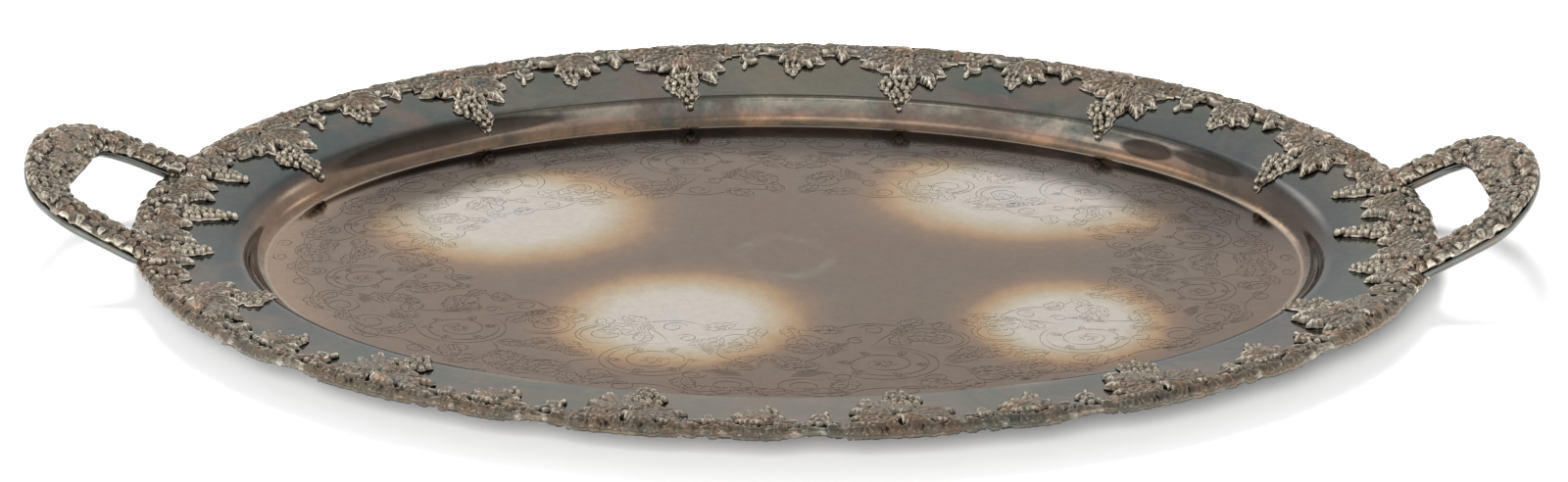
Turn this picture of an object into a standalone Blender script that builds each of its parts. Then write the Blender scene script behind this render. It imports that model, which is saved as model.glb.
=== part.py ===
"""Oval two-handled serving tray with an applied grapevine border.

Metres, +Z up. The origin is the centre of the base, with +X along the long axis
towards the right-hand handle and -Y towards the person who carries the tray.
"""

import math

import bmesh
import bpy
import numpy as np
from mathutils import Matrix, Vector

MM = 0.001

# Driving dimensions of the spun sheet tray.
RIM_A = 324 * MM            # half length of the sheet at its rim
RIM_B = 222 * MM            # half width of the sheet at its rim
SHEET = 1.6 * MM            # thickness of the sheet
RIM_Z = 22.0 * MM           # height of the rim's top face
SHOULDER_Z = 14.5 * MM      # height of the top face where the flange ends
FLANGE_RUN = (49.8 * MM, 47.0 * MM)   # width of the flange along X and along Y
WELL_RUN = (14.4 * MM, 16.4 * MM)     # width of the sloping wall along X and along Y
SHOULDER_R = 4.0 * MM       # convex bend between flange and wall
WALL_ANGLE = math.radians(60)

# Driving dimensions of the applied castings.
PITCH = 128 * MM            # distance between leaf castings along the rim
LEAF_START = -31.5 * MM     # where a leaf casting begins, from its own centre
LEAF_END = 23.2 * MM        # where it ends
EDGE = 1.2 * MM             # thickness of a casting at its outline
SEAT = 0.8 * MM             # clearance between a casting and the sheet
GAP = 0.3 * MM              # clearance between neighbouring castings

# Driving dimensions of the handles.
HANDLE_TILT = 0.5           # rise of the handle's plane for each unit it reaches out
HANDLE_RISE_X = 311.8 * MM  # distance from the centre where that plane meets HANDLE_Z
HANDLE_Z = 21.9 * MM
HANDLE_TOP = 5.0 * MM       # depth of the leafwork shell
HANDLE_BACK = 6.8 * MM      # depth of the smooth backing

# Resolution.
RING = 128                  # facets round the tray
FINE = 2048                 # steps used to measure length along the rim
COARSE_SKIP = (1, 4, 8)     # profile points that the underside does without

# Outlines of the castings: distance along the rim, outer edge, inner edge and relief,
# in millimetres. Edges are measured inward from the rim, so an overhang is negative.
LEAF_OUTLINE = [
    (-31.5, 0, 18, 3.0), (-28, -1, 24, 4.0), (-22, -2, 29, 5.0), (-17, -3, 32, 5.0),
    (-13, -3, 43, 5.5), (-8, -3, 48, 5.5), (-3, -3, 50.5, 5.5), (1.5, -3, 51, 5.0),
    (3.5, -3, 49, 5.5), (6, -3, 41, 5.5), (9, -3, 40, 5.0), (14, -2, 43, 5.0),
    (17, -2, 40, 5.0), (19, -2, 29, 4.5), (22, -1, 26, 4.0), (23.2, 0, 21, 3.0)]

LINK_OUTLINE = [
    (0, 0, 12, 3.0), (3.5, -1, 12, 3.5), (7.5, -2, 19, 4.0), (11.5, -2, 25, 4.0),
    (14.5, -2, 17, 4.0), (18.5, -2, 11, 3.5), (29.5, -2, 11, 3.5), (32.5, -2, 20, 4.0),
    (36.5, -2, 29, 4.5), (39.5, -2, 33, 4.5), (43.5, -2, 28, 4.5), (48.5, -2, 24, 4.0),
    (53.5, -2, 17, 4.0), (56.5, -1, 11, 3.5), (60.5, -2, 11, 4.0), (65.5, -3, 14, 4.5),
    (69.5, -2, 12, 3.5), (72.7, 0, 12, 3.0)]

END_OUTLINE = [
    (-76, 0, 13, 3.5), (-67, 0, 18, 4.5), (-58, 0, 24, 5.5), (-50, 0, 30, 5.5),
    (-46, 0, 34, 5.0), (-41, 0, 29, 5.5), (-33, 0, 26, 5.5), (-22, -3, 28, 5.5),
    (-10, -3, 28, 5.5), (0, -4, 34, 5.5), (7, -4, 46, 5.0), (12, -3, 40, 5.5),
    (17, -3, 29, 5.5), (28, -2, 28, 5.5), (34, 0, 28, 5.5), (42, 0, 27, 5.5), (50, 0, 27, 5.5),
    (58, 0, 32, 5.0), (62, 0, 34, 5.0), (67, 0, 24, 5.0), (75, 0, 16, 4.5)]
END_TIP = (0, 12, 3.0)      # edges and relief where an end casting meets a leaf casting

# Plan of each handle's centre line, from the near root to the far root, and its half
# width, in millimetres. Both are given on the +X side. The far side carries the broad leaf.
HANDLE_PATHS = {
    "left": [
        (304, -50, 9.5), (318, -48.5, 9.0), (336, -46.5, 8.8), (350, -43.5, 9.2),
        (361, -36, 9.8), (366.5, -22, 11.0), (367.5, -5, 13.5), (366.5, 12, 14.5),
        (362.5, 28, 12.5), (354, 39.5, 10.0), (340, 45, 8.6), (320, 48, 8.6), (304, 50, 9.5)],
    "right": [
        (304, -47, 9.5), (318, -43.5, 9.2), (336, -40.5, 9.2), (350, -35.5, 9.6),
        (359, -25, 10.0), (363.5, -10, 12.0), (364, 8, 14.2), (362, 26, 14.5),
        (357.5, 42, 12.5), (349, 53.5, 10.0), (337, 57.5, 8.6), (320, 57, 8.6), (304, 56, 9.5)]}


def clear_scene():
    for obj in list(bpy.data.objects):
        bpy.data.objects.remove(obj, do_unlink=True)


def make_material(name, colour, roughness):
    material = bpy.data.materials.new(name)
    material.use_nodes = True
    shader = material.node_tree.nodes["Principled BSDF"]
    shader.inputs["Base Color"].default_value = (*colour, 1.0)
    shader.inputs["Roughness"].default_value = roughness
    shader.inputs["Metallic"].default_value = 1.0
    material.diffuse_color = (*colour, 1.0)
    return material


def add_object(name, bm, material, sharp=35):
    bmesh.ops.recalc_face_normals(bm, faces=bm.faces)
    mesh = bpy.data.meshes.new(name)
    bm.to_mesh(mesh)
    bm.free()
    mesh.materials.append(material)
    mesh.shade_smooth()
    mesh.set_sharp_from_angle(angle=math.radians(sharp))
    obj = bpy.data.objects.new(name, mesh)
    bpy.context.scene.collection.objects.link(obj)
    return obj


# ---------------------------------------------------------------- the sheet's shape

def wall_profile():
    """Top face of the sheet as (distance inward from the rim, height) points."""
    flange_slope = math.atan2(RIM_Z - SHOULDER_Z, FLANGE_RUN[0])
    run, z = FLANGE_RUN[0], SHOULDER_Z
    points = [(0.0, RIM_Z), (0.5 * run, 0.5 * (RIM_Z + z)), (run, z)]
    for step in (1, 2, 3):
        angle = flange_slope + (WALL_ANGLE - flange_slope) * step / 3
        points.append((run + SHOULDER_R * (math.sin(angle) - math.sin(flange_slope)),
                       z - SHOULDER_R * (math.cos(flange_slope) - math.cos(angle))))
    run, z = points[-1]
    left_run = FLANGE_RUN[0] + WELL_RUN[0] - run
    left_drop = z - SHEET
    sin, cos = math.sin(WALL_ANGLE), math.cos(WALL_ANGLE)
    cove = (left_run * sin - left_drop * cos) / (1 - cos)
    for step in (0, 1, 2, 3):
        angle = WALL_ANGLE * (1 - step / 3)
        points.append((FLANGE_RUN[0] + WELL_RUN[0] - cove * math.sin(angle),
                       SHEET + cove * (1 - math.cos(angle))))
    return points


PROFILE = wall_profile()
PROFILE_RUN = [run for run, _ in PROFILE]
PROFILE_HEIGHT = [z for _, z in PROFILE]


def half_axes(run):
    """Half axes of the oval that lies this far inward from the rim."""
    if run <= FLANGE_RUN[0]:
        return RIM_A - run, RIM_B - FLANGE_RUN[1] * run / FLANGE_RUN[0]
    down = (run - FLANGE_RUN[0]) / WELL_RUN[0]
    return RIM_A - run, RIM_B - FLANGE_RUN[1] - WELL_RUN[1] * down


def surface_height(x, y):
    low, high = -20 * MM, 100 * MM
    for _ in range(24):
        run = 0.5 * (low + high)
        a, b = half_axes(run)
        if (x / a) ** 2 + (y / b) ** 2 > 1:
            high = run
        else:
            low = run
    return float(np.interp(run, PROFILE_RUN, PROFILE_HEIGHT))


def rim_lengths():
    angles = np.linspace(0, 2 * math.pi, FINE + 1)
    steps = np.hypot(np.diff(RIM_A * np.cos(angles)), np.diff(RIM_B * np.sin(angles)))
    return angles, np.concatenate([[0.0], np.cumsum(steps)])


RIM_ANGLES, RIM_LENGTHS = rim_lengths()
PERIMETER = float(RIM_LENGTHS[-1])


def border_point(along, inward, lift):
    """Point at a distance along the rim, inward from it and out of the sheet's top face."""
    angle = float(np.interp(along % PERIMETER, RIM_LENGTHS, RIM_ANGLES))
    outward = Vector((math.cos(angle) / RIM_A, math.sin(angle) / RIM_B)).normalized()
    x = RIM_A * math.cos(angle) - outward.x * inward
    y = RIM_B * math.sin(angle) - outward.y * inward
    z = surface_height(x, y)
    slope_x = (surface_height(x + MM, y) - surface_height(x - MM, y)) / (2 * MM)
    slope_y = (surface_height(x, y + MM) - surface_height(x, y - MM)) / (2 * MM)
    normal = Vector((-slope_x, -slope_y, 1.0)).normalized()
    return Vector((x, y, z)) + normal * lift


# ---------------------------------------------------------------- the sheet tray

def ring_of_vertices(bm, a, b, z):
    step = 2 * math.pi / RING
    return [bm.verts.new((a * math.cos(i * step), b * math.sin(i * step), z)) for i in range(RING)]


def bridge(bm, lower, upper):
    count = len(lower)
    for i in range(count):
        j = (i + 1) % count
        bm.faces.new((lower[i], lower[j], upper[j], upper[i]))


def close_with_centre(bm, ring, z):
    centre = bm.verts.new((0, 0, z))
    for i, vertex in enumerate(ring):
        bm.faces.new((vertex, ring[(i + 1) % len(ring)], centre))


def underside(index):
    """The point one sheet thickness below a point of the top profile."""
    run, z = PROFILE[index]
    before = PROFILE[max(index - 1, 0)]
    after = PROFILE[min(index + 1, len(PROFILE) - 1)]
    direction = Vector((after[0] - before[0], after[1] - before[1])).normalized()
    if index == len(PROFILE) - 1:
        direction = Vector((1.0, 0.0))
    return run + direction.y * SHEET, z - direction.x * SHEET


def make_tray_body(material):
    bm = bmesh.new()
    top = [ring_of_vertices(bm, *half_axes(run), z) for run, z in PROFILE]
    below = [ring_of_vertices(bm, *half_axes(0.0), RIM_Z - SHEET)]
    for index in range(1, len(PROFILE)):
        if index not in COARSE_SKIP:
            run, z = underside(index)
            below.append(ring_of_vertices(bm, *half_axes(run), z))
    for outer, inner in zip(top, top[1:]):
        bridge(bm, outer, inner)
    for outer, inner in zip(below, below[1:]):
        bridge(bm, inner, outer)
    bridge(bm, below[0], top[0])
    close_with_centre(bm, top[-1], SHEET)
    close_with_centre(bm, below[-1], 0.0)
    return add_object("tray_body", bm, material)


# ---------------------------------------------------------------- applied castings

def section_rows(outer, inner, relief):
    """One cross-section of a casting: its domed top, then its bed, as (inward, lift)."""
    rows = []
    for t in (0.0, 0.12, 0.45, 0.78, 0.92, 1.0):
        dome = math.sin(math.pi * t) ** 0.6
        rows.append((outer + (inner - outer) * t, SEAT + EDGE + (relief - EDGE) * dome))
    for t in (1.0, 0.96, 0.91, 0.8, 0.45, 0.0):
        rows.append((outer + (inner - outer) * t, SEAT))
    return rows


def loft(bm, sections):
    rings = [[bm.verts.new(point) for point in section] for section in sections]
    for one, other in zip(rings, rings[1:]):
        bridge(bm, one, other)
    bm.faces.new(rings[0][::-1])
    bm.faces.new(rings[-1])


def make_casting(name, outline, centre, material, mirror=False):
    """Casting laid on the flange. Its outline runs clockwise round the tray from centre."""
    turn = 1 if mirror else -1
    bm = bmesh.new()
    sections = []
    for along, outer, inner, relief in outline:
        rows = section_rows(outer * MM, inner * MM, relief * MM)
        sections.append([border_point(centre + turn * along * MM, inward, lift)
                         for inward, lift in rows])
    loft(bm, sections)
    return add_object(name, bm, material)


def end_outline(near_limit, far_limit):
    """Outline of an end casting between the two leaf castings beside it."""
    return [(near_limit, *END_TIP), *END_OUTLINE, (far_limit, *END_TIP)]


def make_border(material):
    """Six leaf castings and five vine links on each long side, and a casting at each end."""
    for side, middle in (("back", 0.25 * PERIMETER), ("front", 0.75 * PERIMETER)):
        for place in range(6):
            centre = middle + (2.5 - place) * PITCH
            make_casting(f"grape_leaf_{side}_{place + 1}", LEAF_OUTLINE, centre, material)
            if place < 5:
                start = centre - LEAF_END - GAP
                make_casting(f"vine_link_{side}_{place + 1}", LINK_OUTLINE, start, material)
    to_leaf = 0.25 * PERIMETER - 2.5 * PITCH
    after_leaf = (to_leaf - LEAF_END - GAP) / MM
    before_leaf = (to_leaf + LEAF_START - GAP) / MM
    make_casting("right_end_casting", end_outline(-before_leaf, after_leaf), 0.0, material,
                 mirror=True)
    make_casting("left_end_casting", end_outline(-after_leaf, before_leaf), 0.5 * PERIMETER,
                 material)


# ---------------------------------------------------------------- handles

def smooth_path(points, steps):
    """Catmull-Rom curve through control points of any number of values."""
    rows = [Vector(p) for p in points]
    rows = [2 * rows[0] - rows[1], *rows, 2 * rows[-1] - rows[-2]]
    curve = []
    for before, start, end, after in zip(rows, rows[1:], rows[2:], rows[3:]):
        for step in range(steps):
            t = step / steps
            curve.append(0.5 * (2 * start + (end - before) * t
                                + (2 * before - 5 * start + 4 * end - after) * t ** 2
                                + (3 * start - before - 3 * end + after) * t ** 3))
    curve.append(rows[-2])
    return curve


def handle_frames(hand, steps):
    """Centre, sideways direction and half width at each station along the handle."""
    rows = [(x * MM, y * MM, half * MM) for x, y, half in HANDLE_PATHS[hand]]
    path = smooth_path(rows, steps)
    places = [Vector((p.x, p.y, HANDLE_Z + HANDLE_TILT * (p.x - HANDLE_RISE_X))) for p in path]
    normal = Vector((-HANDLE_TILT, 0, 1)).normalized()
    frames = []
    for i, place in enumerate(places):
        ahead = places[min(i + 1, len(places) - 1)] - places[max(i - 1, 0)]
        frames.append((place, ahead.normalized().cross(normal), path[i].z))
    return frames, normal


def half_round(place, side, normal, half_width, depth, count):
    """Half of a flattened round bar, on the side of its flat face that depth points to."""
    base = place + normal * math.copysign(0.5 * GAP, depth)
    section = []
    for i in range(count):
        angle = math.pi * i / (count - 1)
        section.append(base + side * (half_width * math.cos(angle))
                       + normal * (depth * math.sin(angle)))
    return section


def make_rim_cutter():
    """Upright oval block just larger than the rim, which ends the handles' roots."""
    clearance = 0.5 * MM
    bm = bmesh.new()
    lower = ring_of_vertices(bm, RIM_A + clearance, RIM_B + clearance, -10 * MM)
    upper = ring_of_vertices(bm, RIM_A + clearance, RIM_B + clearance, 60 * MM)
    bridge(bm, lower, upper)
    bm.faces.new(upper)
    bm.faces.new(lower[::-1])
    bmesh.ops.recalc_face_normals(bm, faces=bm.faces)
    mesh = bpy.data.meshes.new("rim_cutter")
    bm.to_mesh(mesh)
    bm.free()
    cutter = bpy.data.objects.new("rim_cutter", mesh)
    bpy.context.scene.collection.objects.link(cutter)
    cutter.hide_render = True
    cutter.display_type = "WIRE"
    return cutter


def make_handle_piece(hand, layer, depth, widen, count, steps, cutter, material):
    frames, normal = handle_frames(hand, steps)
    bm = bmesh.new()
    loft(bm, [half_round(place, side, normal, half + widen, depth, count)
              for place, side, half in frames])
    if hand == "left":
        bmesh.ops.transform(bm, matrix=Matrix.Scale(-1, 4, (1, 0, 0)), verts=bm.verts)
    piece = add_object(f"{hand}_handle_{layer}", bm, material)
    cut = piece.modifiers.new("trim_to_rim", "BOOLEAN")
    cut.operation = "DIFFERENCE"
    cut.object = cutter
    return piece


def make_handles(leafwork, backing):
    cutter = make_rim_cutter()
    for hand in ("right", "left"):
        make_handle_piece(hand, "top", HANDLE_TOP, 0.0, 7, 3, cutter, leafwork)
        make_handle_piece(hand, "back", -HANDLE_BACK, -0.8 * MM, 6, 3, cutter, backing)


def main():
    clear_scene()
    sheet = make_material("tarnished_sheet", (0.30, 0.24, 0.20), 0.28)
    leafwork = make_material("cast_leafwork", (0.42, 0.36, 0.30), 0.35)
    backing = make_material("handle_backing", (0.33, 0.35, 0.33), 0.30)
    make_tray_body(sheet)
    make_border(leafwork)
    make_handles(leafwork, backing)


main()
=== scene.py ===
"""Looks of the oval grapevine tray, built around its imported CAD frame.

The sheet gets an engraved floor and a graded tarnish. Each casting of the border, and
the leafwork of each handle, is modelled as a relief: a height field in flat millimetres
that is then laid along the rim or along the handle.
"""

import math

import bmesh
import bpy
import numpy as np
from mathutils import Matrix, Vector
from mathutils.geometry import delaunay_2d_cdt


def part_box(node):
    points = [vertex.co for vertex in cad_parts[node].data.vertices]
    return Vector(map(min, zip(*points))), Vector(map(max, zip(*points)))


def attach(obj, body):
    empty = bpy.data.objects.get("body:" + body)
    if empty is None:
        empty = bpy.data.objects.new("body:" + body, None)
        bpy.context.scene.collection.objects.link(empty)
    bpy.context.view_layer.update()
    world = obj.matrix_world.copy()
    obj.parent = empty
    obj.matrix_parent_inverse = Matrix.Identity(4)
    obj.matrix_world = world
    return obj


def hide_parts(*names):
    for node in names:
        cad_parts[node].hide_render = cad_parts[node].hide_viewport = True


MM = 0.001
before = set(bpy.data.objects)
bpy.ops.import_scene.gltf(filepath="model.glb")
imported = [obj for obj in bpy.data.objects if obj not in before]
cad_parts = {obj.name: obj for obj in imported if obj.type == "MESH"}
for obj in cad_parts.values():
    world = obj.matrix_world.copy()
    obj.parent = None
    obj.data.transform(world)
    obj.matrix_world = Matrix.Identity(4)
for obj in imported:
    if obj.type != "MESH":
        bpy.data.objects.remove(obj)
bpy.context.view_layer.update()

# ------------------------------------------------------------------ the sheet's shape

RIM_A, RIM_B, RIM_Z = (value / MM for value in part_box("tray_body")[1])
SHEET = 1.6                 # thickness, and so the height of the floor's top face
SHOULDER_Z = 14.5           # height of the top face where the flange ends
FLANGE_X, FLANGE_Y = 49.8, 47.0         # width of the flange at the ends and the sides
WELL_X, WELL_Y = 14.4, 16.4             # width of the wall at the ends and the sides
SHOULDER_R, SOFT_R = 4.0, 15.0          # shoulder's radius at the sides and the ends
WALL_ANGLE = math.radians(60)
FLANGE_SLOPE = math.atan2(RIM_Z - SHOULDER_Z, FLANGE_X)
STEP = 0.36                 # grid of the reliefs
SEAT = 0.25                 # bed of a relief above the sheet
ROLL = 2.0                  # radius on which the castings roll over the rim's edge


def wall_profile(bends, radius):
    """Top face of the sheet as (distance inward from the rim, height), rim to floor.

    The shoulder is an arc of this radius between the flange and the wall.
    """
    slope = FLANGE_SLOPE
    spare = (radius - SHOULDER_R) * math.tan(0.5 * (WALL_ANGLE - slope))
    start = FLANGE_X - spare * math.cos(slope)
    points = [(r, RIM_Z - r * math.tan(slope)) for r in np.linspace(0.0, start, 12)]
    run, z = points[-1]
    for angle in np.linspace(slope, WALL_ANGLE, bends)[1:]:
        points.append((run + radius * (math.sin(angle) - math.sin(slope)),
                       z - radius * (math.cos(slope) - math.cos(angle))))
    run, z = points[-1]
    sin, cos = math.sin(WALL_ANGLE), math.cos(WALL_ANGLE)
    end = FLANGE_X + WELL_X
    cove = ((end - run) * sin - (z - SHEET) * cos) / (1 - cos)
    for angle in np.linspace(WALL_ANGLE, 0.0, bends + 4):
        points.append((end - cove * math.sin(angle), SHEET + cove * (1 - math.cos(angle))))
    return np.array(points)


PROFILE = wall_profile(12, SHOULDER_R)
SOFT_PROFILE = wall_profile(12, SOFT_R)
RUNS = np.unique(np.round(np.concatenate([PROFILE[:, 0], SOFT_PROFILE[:, 0]]), 2))


def softness(angle):
    """0 along the back and front, where the shoulder is crisp, and 1 at the two ends."""
    k = np.clip((np.abs(np.cos(angle)) - 0.35) / 0.45, 0, 1)
    return k * k * (3 - 2 * k)


def profile_height(run, angle):
    soft = softness(angle)
    return ((1 - soft) * np.interp(run, PROFILE[:, 0], PROFILE[:, 1])
            + soft * np.interp(run, SOFT_PROFILE[:, 0], SOFT_PROFILE[:, 1]))


def half_axes(run):
    """Half axes of the oval that lies this far inward from the rim."""
    down = np.maximum(run - FLANGE_X, 0.0) / WELL_X
    across = np.minimum(run, FLANGE_X) / FLANGE_X
    return RIM_A - run, RIM_B - FLANGE_Y * across - WELL_Y * down


def surface(x, y):
    """Height of the sheet's top face over plan points, in millimetres."""
    low = np.full_like(x, -30.0)
    high = np.full_like(x, 100.0)
    for _ in range(18):
        run = 0.5 * (low + high)
        a, b = half_axes(run)
        outside = (x / a) ** 2 + (y / b) ** 2 > 1
        high = np.where(outside, run, high)
        low = np.where(outside, low, run)
    return profile_height(run, np.arctan2(y / RIM_B, x / RIM_A))


def rim_lengths():
    angles = np.linspace(0, 2 * math.pi, 8193)
    steps = np.hypot(np.diff(RIM_A * np.cos(angles)), np.diff(RIM_B * np.sin(angles)))
    return angles, np.concatenate([[0.0], np.cumsum(steps)])


RIM_ANGLES, RIM_LENGTHS = rim_lengths()
PERIMETER = RIM_LENGTHS[-1]
PITCH = 128.0               # of the leaves along the rim


def inward_of(w, crease):
    """Plan distance of a point that lies w along the sheet from the rim."""
    arcs = np.concatenate([[0], np.cumsum(np.linalg.norm(np.diff(PROFILE, axis=0), axis=1))])
    first = int(np.argmin(np.abs(PROFILE[:, 0] - FLANGE_X)))
    bend = np.interp(w - crease, arcs[first:] - arcs[first], PROFILE[first:, 0] - FLANGE_X)
    return np.where(w < crease, np.maximum(w, 0), crease + bend)


def border_place(centre, turn):
    """Lays flat (along, inward, height) on the sheet, from a place along the rim.

    Points with a negative inward distance roll over the rim's edge.
    """
    def place(u, w, h):
        angle = np.interp((centre + turn * u) % PERIMETER, RIM_LENGTHS, RIM_ANGLES)
        out_x, out_y = np.cos(angle) / RIM_A, np.sin(angle) / RIM_B
        length = np.hypot(out_x, out_y)
        out_x, out_y = out_x / length, out_y / length
        crease = FLANGE_Y + (FLANGE_X - FLANGE_Y) * np.cos(angle) ** 2
        inward = inward_of(w, crease)
        x = RIM_A * np.cos(angle) - out_x * inward
        y = RIM_B * np.sin(angle) - out_y * inward
        z = surface(x, y)
        dx = (surface(x - 0.5, y) - z) * 2
        dy = (surface(x, y - 0.5) - z) * 2
        size = np.sqrt(dx * dx + dy * dy + 1)
        lift = h + SEAT
        on_sheet = np.stack([x + dx / size * lift, y + dy / size * lift, z + lift / size], -1)
        roll = -w / ROLL - FLANGE_SLOPE
        out = ROLL * (np.sin(roll) + math.sin(FLANGE_SLOPE)) + lift * np.sin(roll)
        up = ROLL * (np.cos(roll) - math.cos(FLANGE_SLOPE)) + lift * np.cos(roll)
        rolled = np.stack([x + out_x * out, y + out_y * out, RIM_Z + up], -1)
        return np.where((w < 0)[:, None], rolled, on_sheet) * MM
    return place


# ------------------------------------------------------------------ mesh helpers

def add_to_scene(obj):
    bpy.context.scene.collection.objects.link(obj)


def add_mesh(name, verts, faces, material, node):
    mesh = bpy.data.meshes.new(name)
    mesh.from_pydata([tuple(v) for v in verts], [], faces)
    mesh.update()
    solid = bmesh.new()
    solid.from_mesh(mesh)
    if solid.calc_volume(signed=True) < 0:
        mesh.flip_normals()
    solid.free()
    mesh.shade_smooth()
    mesh.materials.append(material)
    obj = bpy.data.objects.new(name, mesh)
    add_to_scene(obj)
    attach(obj, "root")
    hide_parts(node)
    return obj


def band(one, other):
    """Quads between two closed rings of vertex numbers."""
    return list(zip(one, [*one[1:], one[0]], [*other[1:], other[0]], other))


def put_values(obj, name, values):
    attribute = obj.data.attributes.new(name, "FLOAT", "POINT")
    attribute.data.foreach_set("value", np.asarray(values, np.float32))


def value_noise(x, y, cell, seed):
    """Smooth noise from -1 to 1 over flat coordinates."""
    rng = np.random.default_rng(seed)
    table = rng.uniform(-1, 1, (64, 64))
    gx, gy = x / cell + 200, y / cell + 200
    ix, iy = np.floor(gx).astype(int), np.floor(gy).astype(int)
    fx, fy = gx - ix, gy - iy
    fx, fy = fx * fx * (3 - 2 * fx), fy * fy * (3 - 2 * fy)
    (low, low_end), (high, high_end) = (
        [table[(ix + i) % 64, (iy + j) % 64] for i in (0, 1)] for j in (0, 1))
    low = low * (1 - fx) + low_end * fx
    high = high * (1 - fx) + high_end * fx
    return low * (1 - fy) + high * fy


# ------------------------------------------------------------------ reliefs

LEAF, STEM, GRAPE, PLATE = 0.0, 0.5, 1.0, -1.0
EVERYWHERE = (slice(None), slice(None))
# The underside's cavity of -1 gives it the dark of the hollows, as painted shade.
BED_VALUES = (0.3, -1.0, 0.25, 0.0)     # relief, cavity, kind and copper of the underside
PLATE_HEIGHT = 0.55         # of the thin plate round a casting's motifs
SEAM_HEIGHT = 1.5           # to which a casting settles at its ends
OVERLAP = 0.5               # of a casting beyond each end
# Lobes of a small leaf as (direction in radians, length, half width in radians).
LOBES = ((0.0, 1.0, 0.80), (1.12, 0.95, 0.72), (-1.12, 0.95, 0.72),
         (2.12, 0.80, 0.66), (-2.12, 0.80, 0.66))


def moved_copies(grid, beyond, longest):
    """Copies of a grid moved by one cell, each with the length of its move in cells."""
    padded = np.pad(grid, 1, constant_values=beyond)
    rows, columns = grid.shape
    for i in (-1, 0, 1):
        for j in (-1, 0, 1):
            if 0 < math.hypot(i, j) < longest:
                yield math.hypot(i, j), padded[1 + i:1 + i + rows, 1 + j:1 + j + columns]


def distance_to(mask, limit):
    """Distance in millimetres from each cell to the nearest marked cell, up to a limit."""
    far = np.where(mask, 0.0, limit)
    for _ in range(int(limit / STEP) + 1):
        for length, moved in moved_copies(far, limit, 1.5):
            far = np.minimum(far, moved + STEP * length)
    return far


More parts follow.
